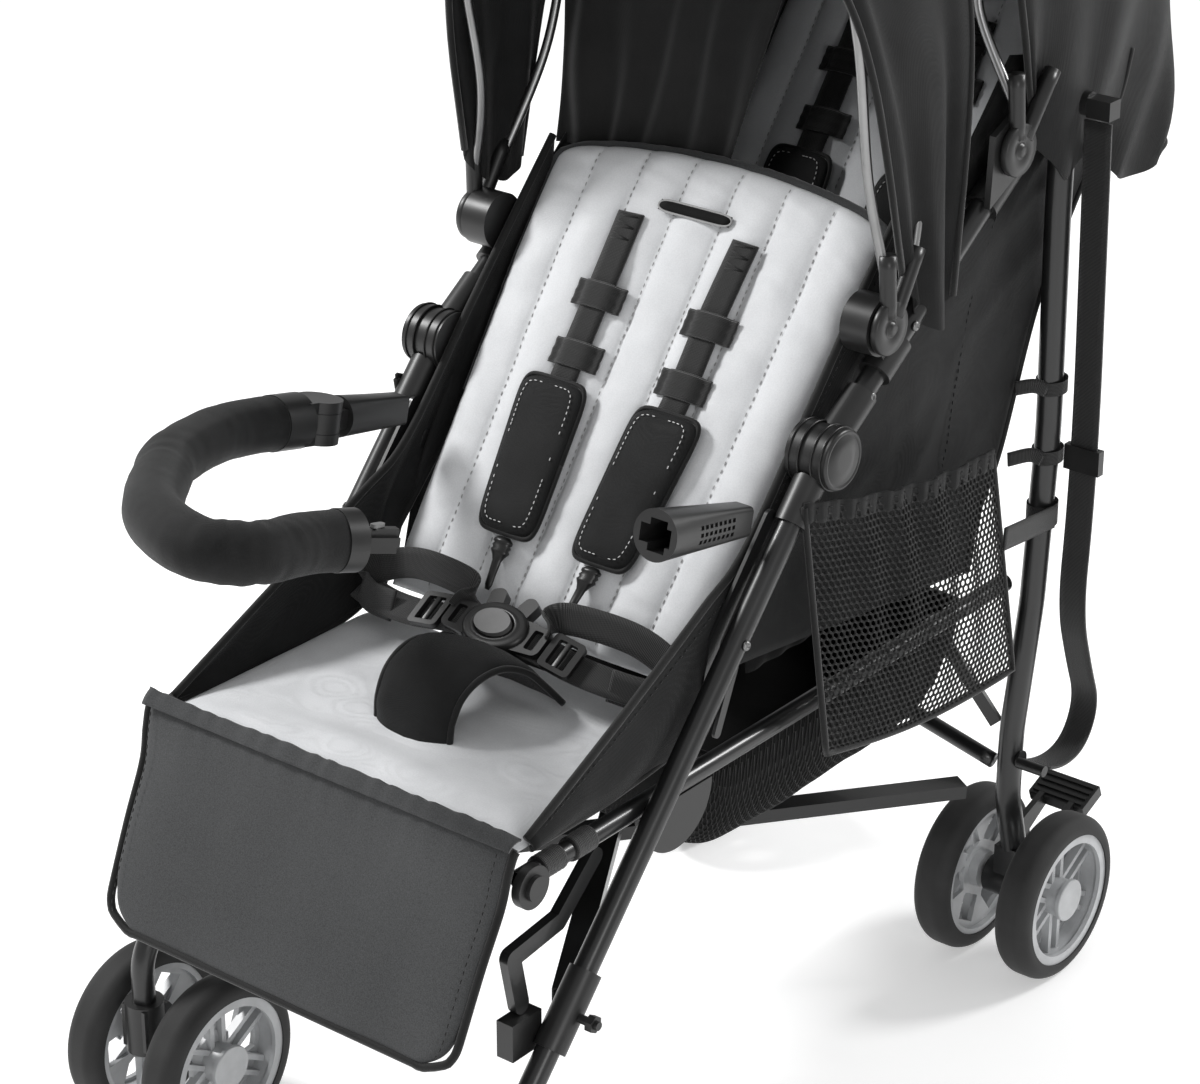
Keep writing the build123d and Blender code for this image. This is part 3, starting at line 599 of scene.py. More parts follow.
def stitches(name, line, material, body, slot, length=3.6, gap=2.6, radius=0.55, squashed=True):
    """A row of thread stitches along a line of close points."""
    points, faces, run, need = [], [], 0.0, 0.0
    for a, b in zip(line, line[1:]):
        step = (b - a).length
        run += step
        if run < need:
            continue
        need = run + (length + gap) * MM
        ahead = (b - a).normalized()
        side = ahead.orthogonal().normalized()
        up = ahead.cross(side)
        base = len(points)
        for end, scale in ((0.0, 0.35), (0.25, 1.0), (0.75, 1.0), (1.0, 0.35)):
            for angle in around(5):
                spoke = side * math.cos(angle) + up * math.sin(angle)
                points.append(a + ahead * length * MM * end + spoke * radius * MM * scale)
        for ring in range(base, base + 15, 5):
            for k in range(5):
                n = (k + 1) % 5
                faces.append((ring + k, ring + n, ring + 5 + n, ring + 5 + k))
        faces += [tuple(base + k for k in range(5)), tuple(base + 15 + k for k in range(4, -1, -1))]
    piece = new_piece(name, points, faces, material, body, slot)
    if squashed:
        folds(piece)
    return piece


def bag_pad(name, place, centre, width, length, thick, material, body, slot, lean=0.0, **more):
    """A stuffed sleeve lying at centre (across, up) on place's surface, its corners rounded."""
    rings = []
    for j in range(30):
        t = -1 + 2 * j / 29
        t = math.sin(t * math.pi / 2)
        reach = max(0.03, (1 - abs(t) ** 16)) ** 0.4 * (1 + 0.06 * t)
        ring = []
        for angle in around(36):
            s, h = blunt(math.cos(angle), 0.62), blunt(math.sin(angle), 0.8)
            v = centre[1] + t * length / 2
            lumps = 1 + 0.12 * noise.noise(Vector((s * 1.5, v * 0.05, centre[0])))
            bulge = thick / 2 * (max(0.04, 1 - t ** 8) ** 0.5) * lumps
            ring.append(place(centre[0] + lean * t + s * reach * width / 2, v, thick / 2 + 6 + h * bulge))
        rings.append(ring)
    piece = grid_piece(name, rings, material, body, slot, closed=True, **more)
    fill_ends(piece)
    folds(piece)
    edge = []
    for k in range(60):
        angle = k / 59 * math.tau
        s, t = blunt(math.cos(angle), 0.26), blunt(math.sin(angle), 0.26)
        edge.append(place(centre[0] + lean * t + s * (1 + 0.06 * t) * (width / 2 + 0.3),
                          centre[1] + t * (length / 2 + 0.3), thick / 2 + 6))
    folds(tube(name + "_binding", edge, 0.0022, PIPING, body, slot, sides=8))
    inner = []
    for k in range(400):
        angle = k / 399 * math.tau
        s, t = blunt(math.cos(angle), 0.28), blunt(math.sin(angle), 0.28)
        inset_s, inset_t = abs(s) * (1 - 13 / width), t * (1 - 13 / length)
        up = thick / 2 * (1 - inset_s ** 3.226) ** 0.4 * (1 - inset_t ** 8) ** 0.5
        inner.append(place(centre[0] + lean * inset_t + math.copysign(inset_s, s) * (1 + 0.06 * t) * width / 2,
                           centre[1] + inset_t * length / 2, thick / 2 + 6.9 + up))
    stitches(name + "_topstitch", inner, THREAD, body, slot, length=2.6, gap=1.8, radius=0.42)
    return piece


def harness(prefix, place, body, slot, spread, pad_low, pad_high, high, loops, node, hooks=True):
    """Two shoulder straps: webbing, cross loops, padded sleeves, adjusters and hooks."""
    for label, side in SIDES.items():
        x = side * spread
        line = [place(x + side * 2, high, 9.5), place(x + side, high - 30, 10.5),
                place(x, (high + pad_high) / 2, 11.5), place(x, pad_high + 20, 11.5),
                place(x - side * 2, pad_high - 24, 14)]
        strap = ribbon(f"{prefix}_webbing_{label}", line, (1, 0, 0), 0.025, 0.0022, WEBBING, body, slot, count=60,
                       replaces=(node,) if side == 1 else ())
        folds(strap)
        for n in range(5):
            v = high - 4 - n * 5
            row = [place(x - 9 + side * 2, v, 11.2), place(x + 9 + side * 2, v - (4 if n % 2 else -1), 11.2)]
            folds(ribbon(f"{prefix}_box_stitch_{label}_{n}", row, (0, 0.6, 0.8), 0.0012, 0.0008, PIPING, body, slot))
        for n, v in enumerate(loops):
            folds(cross_loop(f"{prefix}_loop_{label}_{n}", place, x - side * 1.5 * n, v, body, slot))
        bag_pad(f"{prefix}_pad_{label}", place, (x * 0.95, (pad_low + pad_high) / 2), 60, pad_high - pad_low, 17,
                BLACK, body, slot, lean=side * 5)
        if hooks:
            folds(adjuster(f"{prefix}_adjuster_{label}", place, x * 0.82, pad_low - 9, body, slot))


def cross_loop(name, place, x, v, body, slot):
    """A flat keeper of webbing over the shoulder strap, wider than it."""
    rows = []
    for j in range(9):
        dv = -11 + 22 * j / 8
        row = []
        for i in range(25):
            u = -24 + 48 * i / 24
            lift = 8.8 + 5.5 * (1 - min(1.0, abs(u) / 17) ** 4)
            row.append(place(x + u, v + dv, lift + 0.5 * math.sin(j * 2.0)))
        rows.append(row)
    return grid_piece(name, rows, WEBBING, body, slot, thick=0.002)


def adjuster(name, place, x, v, body, slot):
    """The ribbed plastic end of a shoulder strap with its hook for the buckle."""
    rings = []
    profile = [(0, 5), (3, 9), (5, 9), (6, 7.5), (8, 9), (10, 7.5), (12, 9), (14, 7.5), (16, 6), (20, 4.2), (30, 3.6),
               (40, 3.4), (44, 2.0)]
    for drop, radius in profile:
        ring = []
        for angle in around(16):
            ring.append(place(x + math.cos(angle) * radius - drop * 0.12 * math.copysign(1, x), v + 6 - drop,
                              15 + drop * 0.06 + math.sin(angle) * radius * 0.62))
        rings.append(ring)
    return fill_ends(grid_piece(name, rings, PLASTIC_DARK, body, slot, closed=True))


# ---- front and rear seats --------------------------------------------------------------
front_place = leaning((-75.0, 424.0), 52.5)
rear_place = leaning((192.0, 446.0), 52.6)


def front_half(t):
    return 150 + 13 * min(1.0, t * 1.3)


front_surface = quilt("front_back_quilt", front_place, front_half, 388, 21, 7, 8.0, 19, SILVER, "front_back",
                      "fabric_grey", "front_backrest")
rear_surface = quilt("rear_back_quilt", rear_place, lambda t: 149.0, 496, 19, 7, 7.5, 14, SILVER, "rear_back",
                     "fabric_grey", "rear_backrest", columns=120, rows=70)


def pan_place(front, level):
    def place(u, v, h):
        return at(u, front + v, level + h)
    return place


quilt("front_pan_quilt", pan_place(-297, 397), lambda t: 175 - 3 * t, 224, 20, 1, 4.0, 0, SILVER, "centre",
                  "fabric_grey", "front_seat_pan", round_top=0, sag=9, wave=1.3)
quilt("rear_pan_quilt", pan_place(12, 427), lambda t: 149.0, 168, 18, 1, 3.0, 0, SILVER, "centre",
                 "fabric_grey", "rear_seat_pan", round_top=0, columns=60, rows=40)
for seam in range(1, 7):
    s = -1 + 2 * seam / 7
    line = [front_surface(s, 0.02 + 0.96 * k / 500, 2.7) for k in range(501)]
    stitches(f"front_back_seam_{seam}", line, GREY_THREAD, "front_back", "fabric_grey", radius=0.55)
    line = [rear_surface(s, 0.3 + 0.68 * k / 400, 2.6) for k in range(401)]
    stitches(f"rear_back_seam_{seam}", line, GREY_THREAD, "rear_back", "fabric_grey", radius=0.5)


def back_binding(name, surface, body, start):
    line = [surface(-1, start + (1 - start) * k / 24, -5) for k in range(24)]
    line += [surface(-1 + 2 * k / 40, 1, -3) for k in range(41)]
    line += [surface(1, start + (1 - start) * k / 24, -5) for k in range(23, -1, -1)]
    return folds(tube(name, smooth_line(line, 160), 0.0062, CHARCOAL, body, "fabric_charcoal", sides=12,
                      wrinkle=lambda t, a: 1 + 0.12 * noise.noise(Vector((t * 90, a, 0)))))


back_binding("front_back_binding", front_surface, "front_back", 0.45)
back_binding("rear_back_binding", rear_surface, "rear_back", 0.2)
SLOT_UP = 357                  # hand slot, up the front seat back
slot_ring = [front_place(36 * blunt(math.cos(a), 0.25), SLOT_UP + 5 * math.sin(a), 9.0)
             for a in around(48, True)]
folds(tube("front_back_slot_edge", slot_ring, 0.0009, GREY_THREAD, "front_back", "fabric_grey", sides=8))
slot_rows = [[front_place(-35 + 70 * i / 10, SLOT_UP - 4.4 + 8.8 * j / 2, 8.8) for i in range(11)]
             for j in range(3)]
folds(grid_piece("front_back_slot", slot_rows, BLACK_SOFT, "front_back", "fabric_black", thick=0.001))

harness("front_strap", front_place, "front_back", "webbing_black", 55, 66, 196, 344, (271, 220), "front_straps")
harness("rear_strap", rear_place, "rear_back", "webbing_black", 55, 150, 300, 447, (385, 330), "rear_straps",
        hooks=False)

for label, side in SIDES.items():
    skirt = [[at(side * (151 + 1.2 * math.sin(i * 0.9 + j)), 10 + 174 * i / 40, 432 - 30 * j / 6)
              for i in range(41)] for j in range(7)]
    folds(grid_piece(f"rear_pan_skirt_{label}", skirt, BLACK_SOFT, "centre", "fabric_black", thick=0.002))

# ---- footrest ----------------------------------------------------------------------------
LEG_LINE = [(-301, 399), (-309, 394), (-315, 378), (-322, 352), (-342, 312), (-362, 268), (-376, 236)]


def footrest_point(s, t, off):
    line = FOOT_CURVE
    n = min(int(t * (len(line) - 1)), len(line) - 2)
    f = t * (len(line) - 1) - n
    p = line[n].lerp(line[n + 1], f)
    ahead = (line[n + 1] - line[n]).normalized()
    normal = Vector((0, ahead.z, -ahead.y))
    if normal.y > 0:
        normal = -normal
    half = (185 - 9 * t) * (1 - 0.11 * max(0.0, (t - 0.86) / 0.14) ** 3)
    q = p + normal * off * MM
    q.x = s * half * MM
    return q


FOOT_CURVE = smooth_line([at(0, y, z) for y, z in LEG_LINE], 60)
ROLL_END, PANEL_START = 0.17, 0.12


def foot_pucker(s, t):
    """Gathers below the seat's front edge."""
    gathers = 1.3 * math.sin(s * 55 + 3 * noise.noise(Vector((s * 6, 0, 0))))
    return math.exp(-t * 7) * (gathers + 2.0 * noise.noise(Vector((s * 14, 1, 0))))


def foot_lumps(s, t):
    return 3.2 * noise.noise(Vector((s * 2.4, t * 2.2, 5)))


rings = []
for j in range(64):
    t = PANEL_START + (1 - PANEL_START) * j / 63
    ring = []
    for i in range(90):
        s = -1 + 2 * i / 89
        edge = shoulder(s, 14, 0.5) * shoulder(max(0.0, 2 * t - 1), 16, 0.5)
        soft = foot_lumps(s, t) + 2.2 * math.sin(math.pi * t) + foot_pucker(s, t)
        corner = 1 - 0.07 * max(0.0, abs(s) - 0.8) / 0.2 * max(0.0, (t - 0.8) / 0.2)
        ring.append(footrest_point(s * corner, t, 5 * edge + soft * edge))
    for i in range(12):
        s = 1 - 2 * (i + 0.5) / 12
        ring.append(footrest_point(s * 0.99, t, -6))
    rings.append(ring)
panel = grid_piece("footrest_panel_cover", rings, CHARCOAL, "footrest", "fabric_charcoal", closed=True,
                   replaces=("footrest_panel",))
folds(fill_ends(panel))
roll = []
for j in range(14):
    t = ROLL_END * j / 13
    ring = []
    for i in range(90):
        s = -1 + 2 * i / 89
        ring.append(footrest_point(s, t, 8.4 + foot_pucker(s, t) + 2.0 * math.sin(math.pi * t) + foot_lumps(s, t)))
    roll.append(ring)
folds(grid_piece("seat_edge_cover", roll, CHARCOAL, "centre", "fabric_charcoal", thick=0.002))
edge_line = [footrest_point(-1.0, PANEL_START + 0.02 + (0.94 - PANEL_START) * k / 30, 1) for k in range(31)]
edge_line += [footrest_point(-0.97 + 1.94 * k / 30, 1.0, 1) for k in range(31)]
edge_line += [footrest_point(1.0, 0.96 - (0.94 - PANEL_START) * k / 30, 1) for k in range(31)]
folds(piping("footrest_piping", smooth_line(edge_line, 200), 0.0034, "footrest", sides=10))
hem = [footrest_point(-0.95, 0.2 + 0.74 * k / 300, 8.5) for k in range(301)]
stitches("footrest_stitch_right", hem, PIPING, "footrest", "fabric_charcoal", radius=0.5)
stitches("footrest_stitch_left", [Vector((-p.x, p.y, p.z)) for p in hem], PIPING, "footrest", "fabric_charcoal",
         radius=0.5)


# ---- side panels ------------------------------------------------------------------------
PANEL_TOP = [(178, -290, 396), (176, -180, 447), (172, -76, 496), (171, -22, 526), (171, 60, 618),
             (170, 120, 686), (170, 165, 735)]
PANEL_LOW = [(180, -288, 388), (176, -180, 386), (172, -80, 398), (170, -44, 444), (169, 40, 528),
             (169, 118, 596), (171, 170, 628)]
for label, side in SIDES.items():
    top = smooth_line([at(side * x, y, z) for x, y, z in PANEL_TOP], 90)
    low = smooth_line([at(side * x, y, z) for x, y, z in PANEL_LOW], 90)
    rows = []
    for n, (a, b) in enumerate(zip(top, low)):
        row = []
        for k in range(16):
            f = k / 15
            p = a.lerp(b, f)
            billow = math.sin(math.pi * f) * (5 + 3 * noise.noise(Vector((n * 0.09, f * 2, side))))
            billow -= 1.2 * math.sin(n * 0.5 + f * 5) * f
            p.x += side * billow * MM
            row.append(p)
        rows.append(row)
    panel = grid_piece(f"side_panel_cloth_{label}", rows, BLACK, f"side_{label}", "fabric_black", thick=0.004,
                       replaces=(f"side_panel_{label}",))
    piping(f"side_panel_piping_{label}", top, 0.0034, f"side_{label}", sides=10)
    piping(f"side_panel_low_piping_{label}", low, 0.0028, f"side_{label}")
    seam = [a.lerp(b, 0.1) + Vector((side * 0.0042, 0, 0)) for a, b in zip(top, low)]
    stitches(f"side_panel_stitch_{label}", smooth_line(seam[2:-2], 500), PIPING, f"side_{label}", "fabric_black",
             radius=0.5, squashed=False)

# ---- buckle, lap straps, crotch pad ---------------------------------------------------------
TILT = Matrix.Rotation(math.radians(30), 3, "X")
BUCKLE = at(0, -112, 440)


def on_buckle(x, y, h):
    return BUCKLE + TILT @ Vector((x * MM, y * MM, h * MM))


def lathe_oval(name, radii, material, body, slot, sides=48, **more):
    """An oval body of revolution on the buckle: radii are (half width, half depth, height) rings."""
    rings = [[on_buckle(a * math.cos(angle), b * math.sin(angle), h) for angle in around(sides)] for a, b, h in radii]
    return fill_ends(grid_piece(name, rings, material, body, slot, closed=True, **more))


HOUSING = [(20, 15, -9), (27, 20, -8), (30, 22, -4), (30.5, 22.5, 3), (29, 21, 6.5), (27, 19.5, 7.6), (24, 17, 7.2),
           (22, 15.2, 8.2), (19.6, 14, 8.6), (17.4, 12.4, 7.8), (17.2, 12.2, 7.0), (10, 8, 6.9)]
lathe_oval("buckle_housing", HOUSING, PLASTIC, "centre", "plastic_black", replaces=("front_buckle",))
for label, side in SIDES.items():
    lug = [(side * 22, -15), (side * 46, -13), (side * 49, -9), (side * 49, 9), (side * 46, 13), (side * 22, 15)]
    window = [(side * 34, -9), (side * 43, -9), (side * 43, 9), (side * 34, 9)]
    plane = (on_buckle(0, 0, -4), TILT @ Vector((1, 0, 0)), TILT @ Vector((0, 1, 0)))
    plate(f"buckle_lug_{label}", rounded(lug, 4), plane, 0.008, PLASTIC_DARK, "centre", "plastic_black",
          hole=rounded(window, 2))
    wing = [(side * 6, 18), (side * 20, 13), (side * 24, 30), (side * 16, 34), (side * 10, 32)]
    plate(f"buckle_wing_{label}", rounded(wing, 4), plane, 0.009, PLASTIC, "centre", "plastic_black")
    line = [at(side * 30, -113, 438), at(side * 48, -113, 436), at(side * 80, -112, 430), at(side * 118, -104, 424),
            at(side * 150, -92, 420), at(side * 168, -84, 418)]
    folds(ribbon(f"lap_webbing_{label}", line, TILT @ Vector((0, 1, 0)), 0.025, 0.0022, WEBBING, "centre",
                 "webbing_black", count=50))
    line = [at(side * 44, -106, 440), at(side * 40, -92, 452), at(side * 60, -84, 455), at(side * 110, -78, 452),
            at(side * 146, -80, 440), at(side * 158, -92, 428), at(side * 140, -104, 424), at(side * 110, -110, 426)]
    folds(ribbon(f"lap_webbing_loop_{label}", line, (0, 0.35, 0.94), 0.025, 0.0022, WEBBING, "centre",
                 "webbing_black", count=70))
    slide = rounded([(-15, -16), (15, -16), (15, 16), (-15, 16)], 5)
    opening = rounded([(-9, -11.5), (9, -11.5), (9, 11.5), (-9, 11.5)], 2)
    origin = at(side * 66, -112, 434)
    plane = (origin + Vector((0, 0, 0.002)), Vector((1, 0, -0.16 * side)).normalized(), TILT @ Vector((0, 1, 0)))
    plate(f"lap_slider_{label}", slide, plane, 0.0045, PLASTIC_DARK, "centre", "plastic_black", hole=opening)
    oriented_box(f"lap_slider_bar_{label}", origin + Vector((0, 0, 0.005)), (4.5, 27, 3.5), TILT, PLASTIC_DARK,
                 "centre", "plastic_black", bevel=0.001)

CROTCH = [(0, -219, 388), (0, -217, 394), (0, -214, 412), (1, -203, 432), (3, -184, 444), (6, -160, 446),
          (10, -138, 436), (14, -124, 420), (18, -113, 404)]
centre_line = smooth_line([at(*p) for p in CROTCH], 60)
rings = []
for n, p in enumerate(centre_line):
    t = n / 59
    ahead = (centre_line[min(n + 1, 59)] - centre_line[max(n - 1, 0)]).normalized()
    normal = Vector((1, 0, 0)).cross(ahead).normalized()
    half = 36 + 16 * t * t
    thick = 9 * shoulder(2 * t - 1, 10, 0.5) + 1.5
    ring = []
    for a in around(40):
        s, h = blunt(math.cos(a), 0.5), blunt(math.sin(a), 0.8)
        droop = -5.5 * s * s
        crease = 1.5 * noise.noise(Vector((s * 2, t * 7, 4)))
        ring.append(p + Vector((s * half * MM, 0, 0)) + normal * (h * thick / 2 + droop + crease) * MM)
    rings.append(ring)
pad = grid_piece("crotch_pad", rings, BLACK, "centre", "fabric_black", closed=True)
folds(fill_ends(pad))
for label, side in SIDES.items():
    edge = []
    for n, p in enumerate(centre_line):
        ahead = (centre_line[min(n + 1, 59)] - centre_line[max(n - 1, 0)]).normalized()
        normal = Vector((1, 0, 0)).cross(ahead).normalized()
        edge.append(p + Vector((side * (36.5 + 16 * (n / 59) ** 2) * MM, 0, 0)) - normal * 5.5 * MM)
    folds(piping(f"crotch_pad_binding_{label}", edge, 0.0028, "centre"))
plane = (at(0, -219, 388.5), Vector((1, 0, 0)), Vector((0, 1, 0.05)).normalized())
plate("crotch_pad_tab", rounded([(-40, -6), (40, -6), (40, 9), (-40, 9)], 3), plane, 0.002, BLACK, "centre",
      "fabric_black")


# ---- hoods -----------------------------------------------------------------------------
def hood(name, roof, bottoms, half, body, node, gather=4.0, folds_per=9.0, back=0.0):
    """One curved sheet over the bows: roof is its ridge from front to back, bottoms its lower edges.
    half is its half width, less back behind the rear legs, and gather the depth of its folds."""
    turns, power = 64, 0.42
    ridge = smooth_line([at(0, y, z) for y, z in roof], 46)
    lower = {side: smooth_line([at(0, y, z) for y, z in line], 46) for side, line in bottoms.items()}
    rows = []
    for n in range(46):
        t = n / 45
        row = []
        for k in range(turns + 1):
            a = math.pi * k / turns
            side = 1 if a > math.pi / 2 else -1
            base = lower[side][n]
            rise = abs(math.sin(a)) ** power
            across = -blunt(math.cos(a), power * 0.9)
            y = base.y + (ridge[n].y - base.y) * rise
            z = base.z + (ridge[n].z - base.z) * rise
            low = (1 - rise)
            wander = 2.2 * noise.noise(Vector((t * 4, rise * 2, side)))
            fold = math.sin(t * folds_per * math.tau + wander) * gather * (0.25 + 0.75 * low)
            sag = -7 * math.sin(math.pi * t) * (1 - abs(across) ** 4) * rise
            wrinkle = 2.2 * noise.noise(Vector((across * 5, t * 6, 2.5)))
            inward = back * max(0.0, min(1.0, (t - 0.45) / 0.25))
            x = across * (half - inward) + across * fold
            row.append(Vector((x * MM, y + 0.4 * fold * low * MM, z + (sag + wrinkle * rise) * MM)))
        rows.append(row)
    piece = grid_piece(name, rows, BLACK, body, "fabric_black", thick=0.0016, replaces=(node,))
    keep = HOOD_KEEP[node.split("_")[0]]
    folds(piece, keep)
    declare_sheet(rows)
    folds(piping(f"{node}_front_rim", rows[0], 0.003, body), keep)
    folds(piping(f"{node}_back_rim", rows[-1], 0.003, body), keep)


def sheet_area(rows):
    area = 0.0
    for a, b in zip(rows, rows[1:]):
        for i in range(len(a) - 1):
            area += ((a[i + 1] - a[i]).cross(b[i] - a[i])).length / 2
            area += ((a[i + 1] - b[i + 1]).cross(b[i] - b[i + 1])).length / 2
    return area


def line_length(line):
    return sum((b - a).length for a, b in zip(line, line[1:]))


def declare_sheet(rows):
    """The cloth as cut: as wide and long as its longest lines, less what its shaped edges take away."""
    width = max(line_length(row) for row in rows)
    length = max(line_length([row[i] for row in rows]) for i in range(0, len(rows[0]), 4))
    area = min(sheet_area(rows), width * length)


FRONT_ROOF = [(56, 990), (74, 1010), (110, 1017), (150, 1018), (195, 1012), (226, 985)]
front_bottoms = {1: [(132, 697), (146, 680), (164, 660), (177, 651), (186, 660), (190, 676)],
                 -1: [(92, 734), (98, 719), (112, 706), (136, 696), (150, 700), (166, 708)]}
hood("front_hood_cloth", FRONT_ROOF, front_bottoms, 203, "front_canopy", "front_hood", gather=5.5, folds_per=2.2)

REAR_ROOF = [(250, 1002), (292, 1040), (360, 1043), (430, 1040), (500, 1006), (545, 965), (590, 870), (596, 780),
             (572, 706)]
REAR_BOTTOM = [(298, 800), (300, 782), (322, 752), (362, 724), (400, 752), (440, 724), (476, 690), (520, 682),
               (541, 690)]
rear_bottoms = {1: REAR_BOTTOM, -1: REAR_BOTTOM}
hood("rear_hood_cloth", REAR_ROOF, rear_bottoms, 205, "rear_canopy", "rear_hood", folds_per=4.5, back=25.0)

# ---- hood bows -----------------------------------------------------------------------------
BOWS = {"front": ([((106, 703), (98, 790), (78, 996)), ((132, 700), (180, 800), (210, 982))], 190, (108, 674)),
        "rear": ([((266, 806), (268, 880), (272, 1016)), ((300, 800), (390, 880), (470, 1002))], 172, (269, 775))}
HOOD_DISC = [(14, 0), (20.5, 0), (21.5, 1.2), (21.5, 5.6), (20.4, 7), (9, 7), (8, 6.2), (5.5, 6.2), (5, 8.2),
             (2.2, 8.6)]
for place_name, (bows, half, pivot) in BOWS.items():
    body, keep = f"{place_name}_canopy", HOOD_KEEP[place_name]
    out, face = (206, 203) if place_name == "front" else (212, 209.6)
    for n, (low, middle, high) in enumerate(bows):
        arm = [(out, *low), (half, *middle), (half, high[0], high[1] - 90), (half - 24, high[0], high[1] - 24),
               (half - 90, *high)]
        line = [at(-x, y, z) for x, y, z in arm] + [at(0, *high)] + [at(*p) for p in reversed(arm)]
        replaces = (f"{place_name}_hood_bows",) if n == 0 else ()
        folds(tube(f"{place_name}_hood_rod_{n}", line, 0.004, ALLOY, body, "bow_aluminium", count=120,
                   replaces=replaces), keep)
        for label, side in SIDES.items():
            dy, dz = low[0] - pivot[0], low[1] - pivot[1]
            start = at(side * out, pivot[0] + dy * 0.3, pivot[1] + dz * 0.3)
            end = at(side * (out - 1), low[0] + dy * 0.55, low[1] + dz * 0.55 + 14)
            line = [start, start.lerp(end, 0.2), start.lerp(end, 0.8), end]
            folds(tube(f"{place_name}_rod_socket_{label}_{n}", line, 0.0068, PLASTIC_DARK, body, "plastic_black",
                       sides=14), keep)
    for label, side in SIDES.items():
        profile = [(radius, face + depth) for radius, depth in HOOD_DISC]
        folds(turned(f"{place_name}_hood_disc_{label}", side, profile, pivot, 40, PLASTIC, body, "plastic_black"),
              keep)

# ---- sheer curtain behind the front seat --------------------------------------------------
rows = []
for j in range(34):
    t = j / 33
    row = []
    for i in range(70):
        s = i / 69
        right = 62 - 72 * t
        x = -186 + (right + 186) * s
        pleat = math.sin(s * 30 + 2 * noise.noise(Vector((s * 3, t * 2, 0))))
        y = 214 - 26 * t + 4.5 * pleat * (0.3 + 0.7 * t)
        z = 985 - 265 * t
        row.append(at(x, y, z))
    rows.append(row)
piece = grid_piece("rear_curtain", rows, SHEER, "front_canopy", "mesh_black", thick=0.0008)
folds(piece)
declare_sheet(rows)

# ---- rear side panels between the handle tube and the rear leg ------------------------------
SIDE_FRONT = [(300, 838), (230, 762), (150, 690), (86, 620), (36, 560), (-6, 500), (-30, 430)]
SIDE_BACK = [(486, 800), (470, 752), (414, 682), (366, 600), (327, 490), (300, 440), (290, 392)]
for label, side in SIDES.items():
    front = smooth_line([at(0, y, z) for y, z in SIDE_FRONT], 60)
    rear = smooth_line([at(0, y, z) for y, z in SIDE_BACK], 60)
    rows = []
    for n, (a, b) in enumerate(zip(front, rear)):
        t = n / 59
        row = []
        for k in range(40):
            f = k / 39
            p = a.lerp(b, f)
            x = 183 - 13 * t + 5 * math.sin(math.pi * f) * math.sin(math.pi * t)
            x += 2.4 * noise.noise(Vector((f * 5, t * 4, side * 3))) - 1.0
            loose = math.sin(math.pi * f) ** 0.5 * min(1.0, 6 * t, 6 * (1 - t))
            for tilt, count, deep in ((1.9, 3.1, 7.0), (-1.3, 4.3, 5.0)):
                ridge = noise.noise(Vector((count * (f + tilt * t), (t - tilt * f) * 0.8, side * 7 + tilt)))
                x -= deep * loose * abs(ridge) ** 0.7
            p.x = side * x * MM
            row.append(p)
        rows.append(row)
    piece = grid_piece(f"rear_side_cloth_{label}", rows, BLACK, f"side_{label}", "fabric_black", thick=0.0016)
    declare_sheet(rows)
    piping(f"rear_side_hem_{label}", [row[-1] for row in rows], 0.003, f"side_{label}")
    seam = [rows[n][14].lerp(rows[n][34], (n - 4) / 52) + Vector((side * 0.0016, 0, 0)) for n in range(4, 56)]
    stitches(f"rear_side_seam_{label}", smooth_line(seam, 400), PIPING, f"side_{label}", "fabric_black", radius=0.7,
             squashed=False)


# ---- nets: pockets and basket ------------------------------------------------------------
HEXAGON = [(0, -2 / 3), (0.5, -1 / 3), (0.5, 1 / 3), (0, 2 / 3), (-0.5, 1 / 3), (-0.5, -1 / 3)]


def net(name, rows, pitch, wire, material, body, slot, **more):
    """A hexagonal net laid over a surface of points, made of real strands."""
    tall, wide = len(rows) - 1, len(rows[0]) - 1
    length_u = line_length(rows[tall // 2])
    length_v = line_length([row[wide // 2] for row in rows])
    nu, nv = max(4, int(length_u / pitch)), max(4, int(length_v / (pitch * 0.866)))

    def sample(u, v):
        u, v = min(max(u, 0), 1) * wide, min(max(v, 0), 1) * tall
        i, j = min(int(u), wide - 1), min(int(v), tall - 1)
        fu, fv = u - i, v - j
        return rows[j][i].lerp(rows[j][i + 1], fu).lerp(rows[j + 1][i].lerp(rows[j + 1][i + 1], fu), fv)

    points, index, faces = [], {}, []

    def vertex(u, v):
        key = (round(u * 4000), round(v * 4000))
        if key not in index:
            index[key] = len(points)
            points.append(sample(u, v))
        return index[key]

    for r in range(nv):
        for c in range(nu):
            cu, cv = (c + 0.5 + (0.5 if r % 2 else 0.0)) / nu, (r + 0.5) / nv
            if cu > 1 - 0.4 / nu:
                continue
            ring = [vertex(cu + du / nu, cv + dv / nv) for du, dv in HEXAGON]
            if len(set(ring)) == 6:
                faces.append(ring)
    piece = new_piece(name, points, faces, material, body, slot, **more)
    modifier(piece, "WIREFRAME", thickness=wire, use_even_offset=False)
    bake(piece)
    return piece


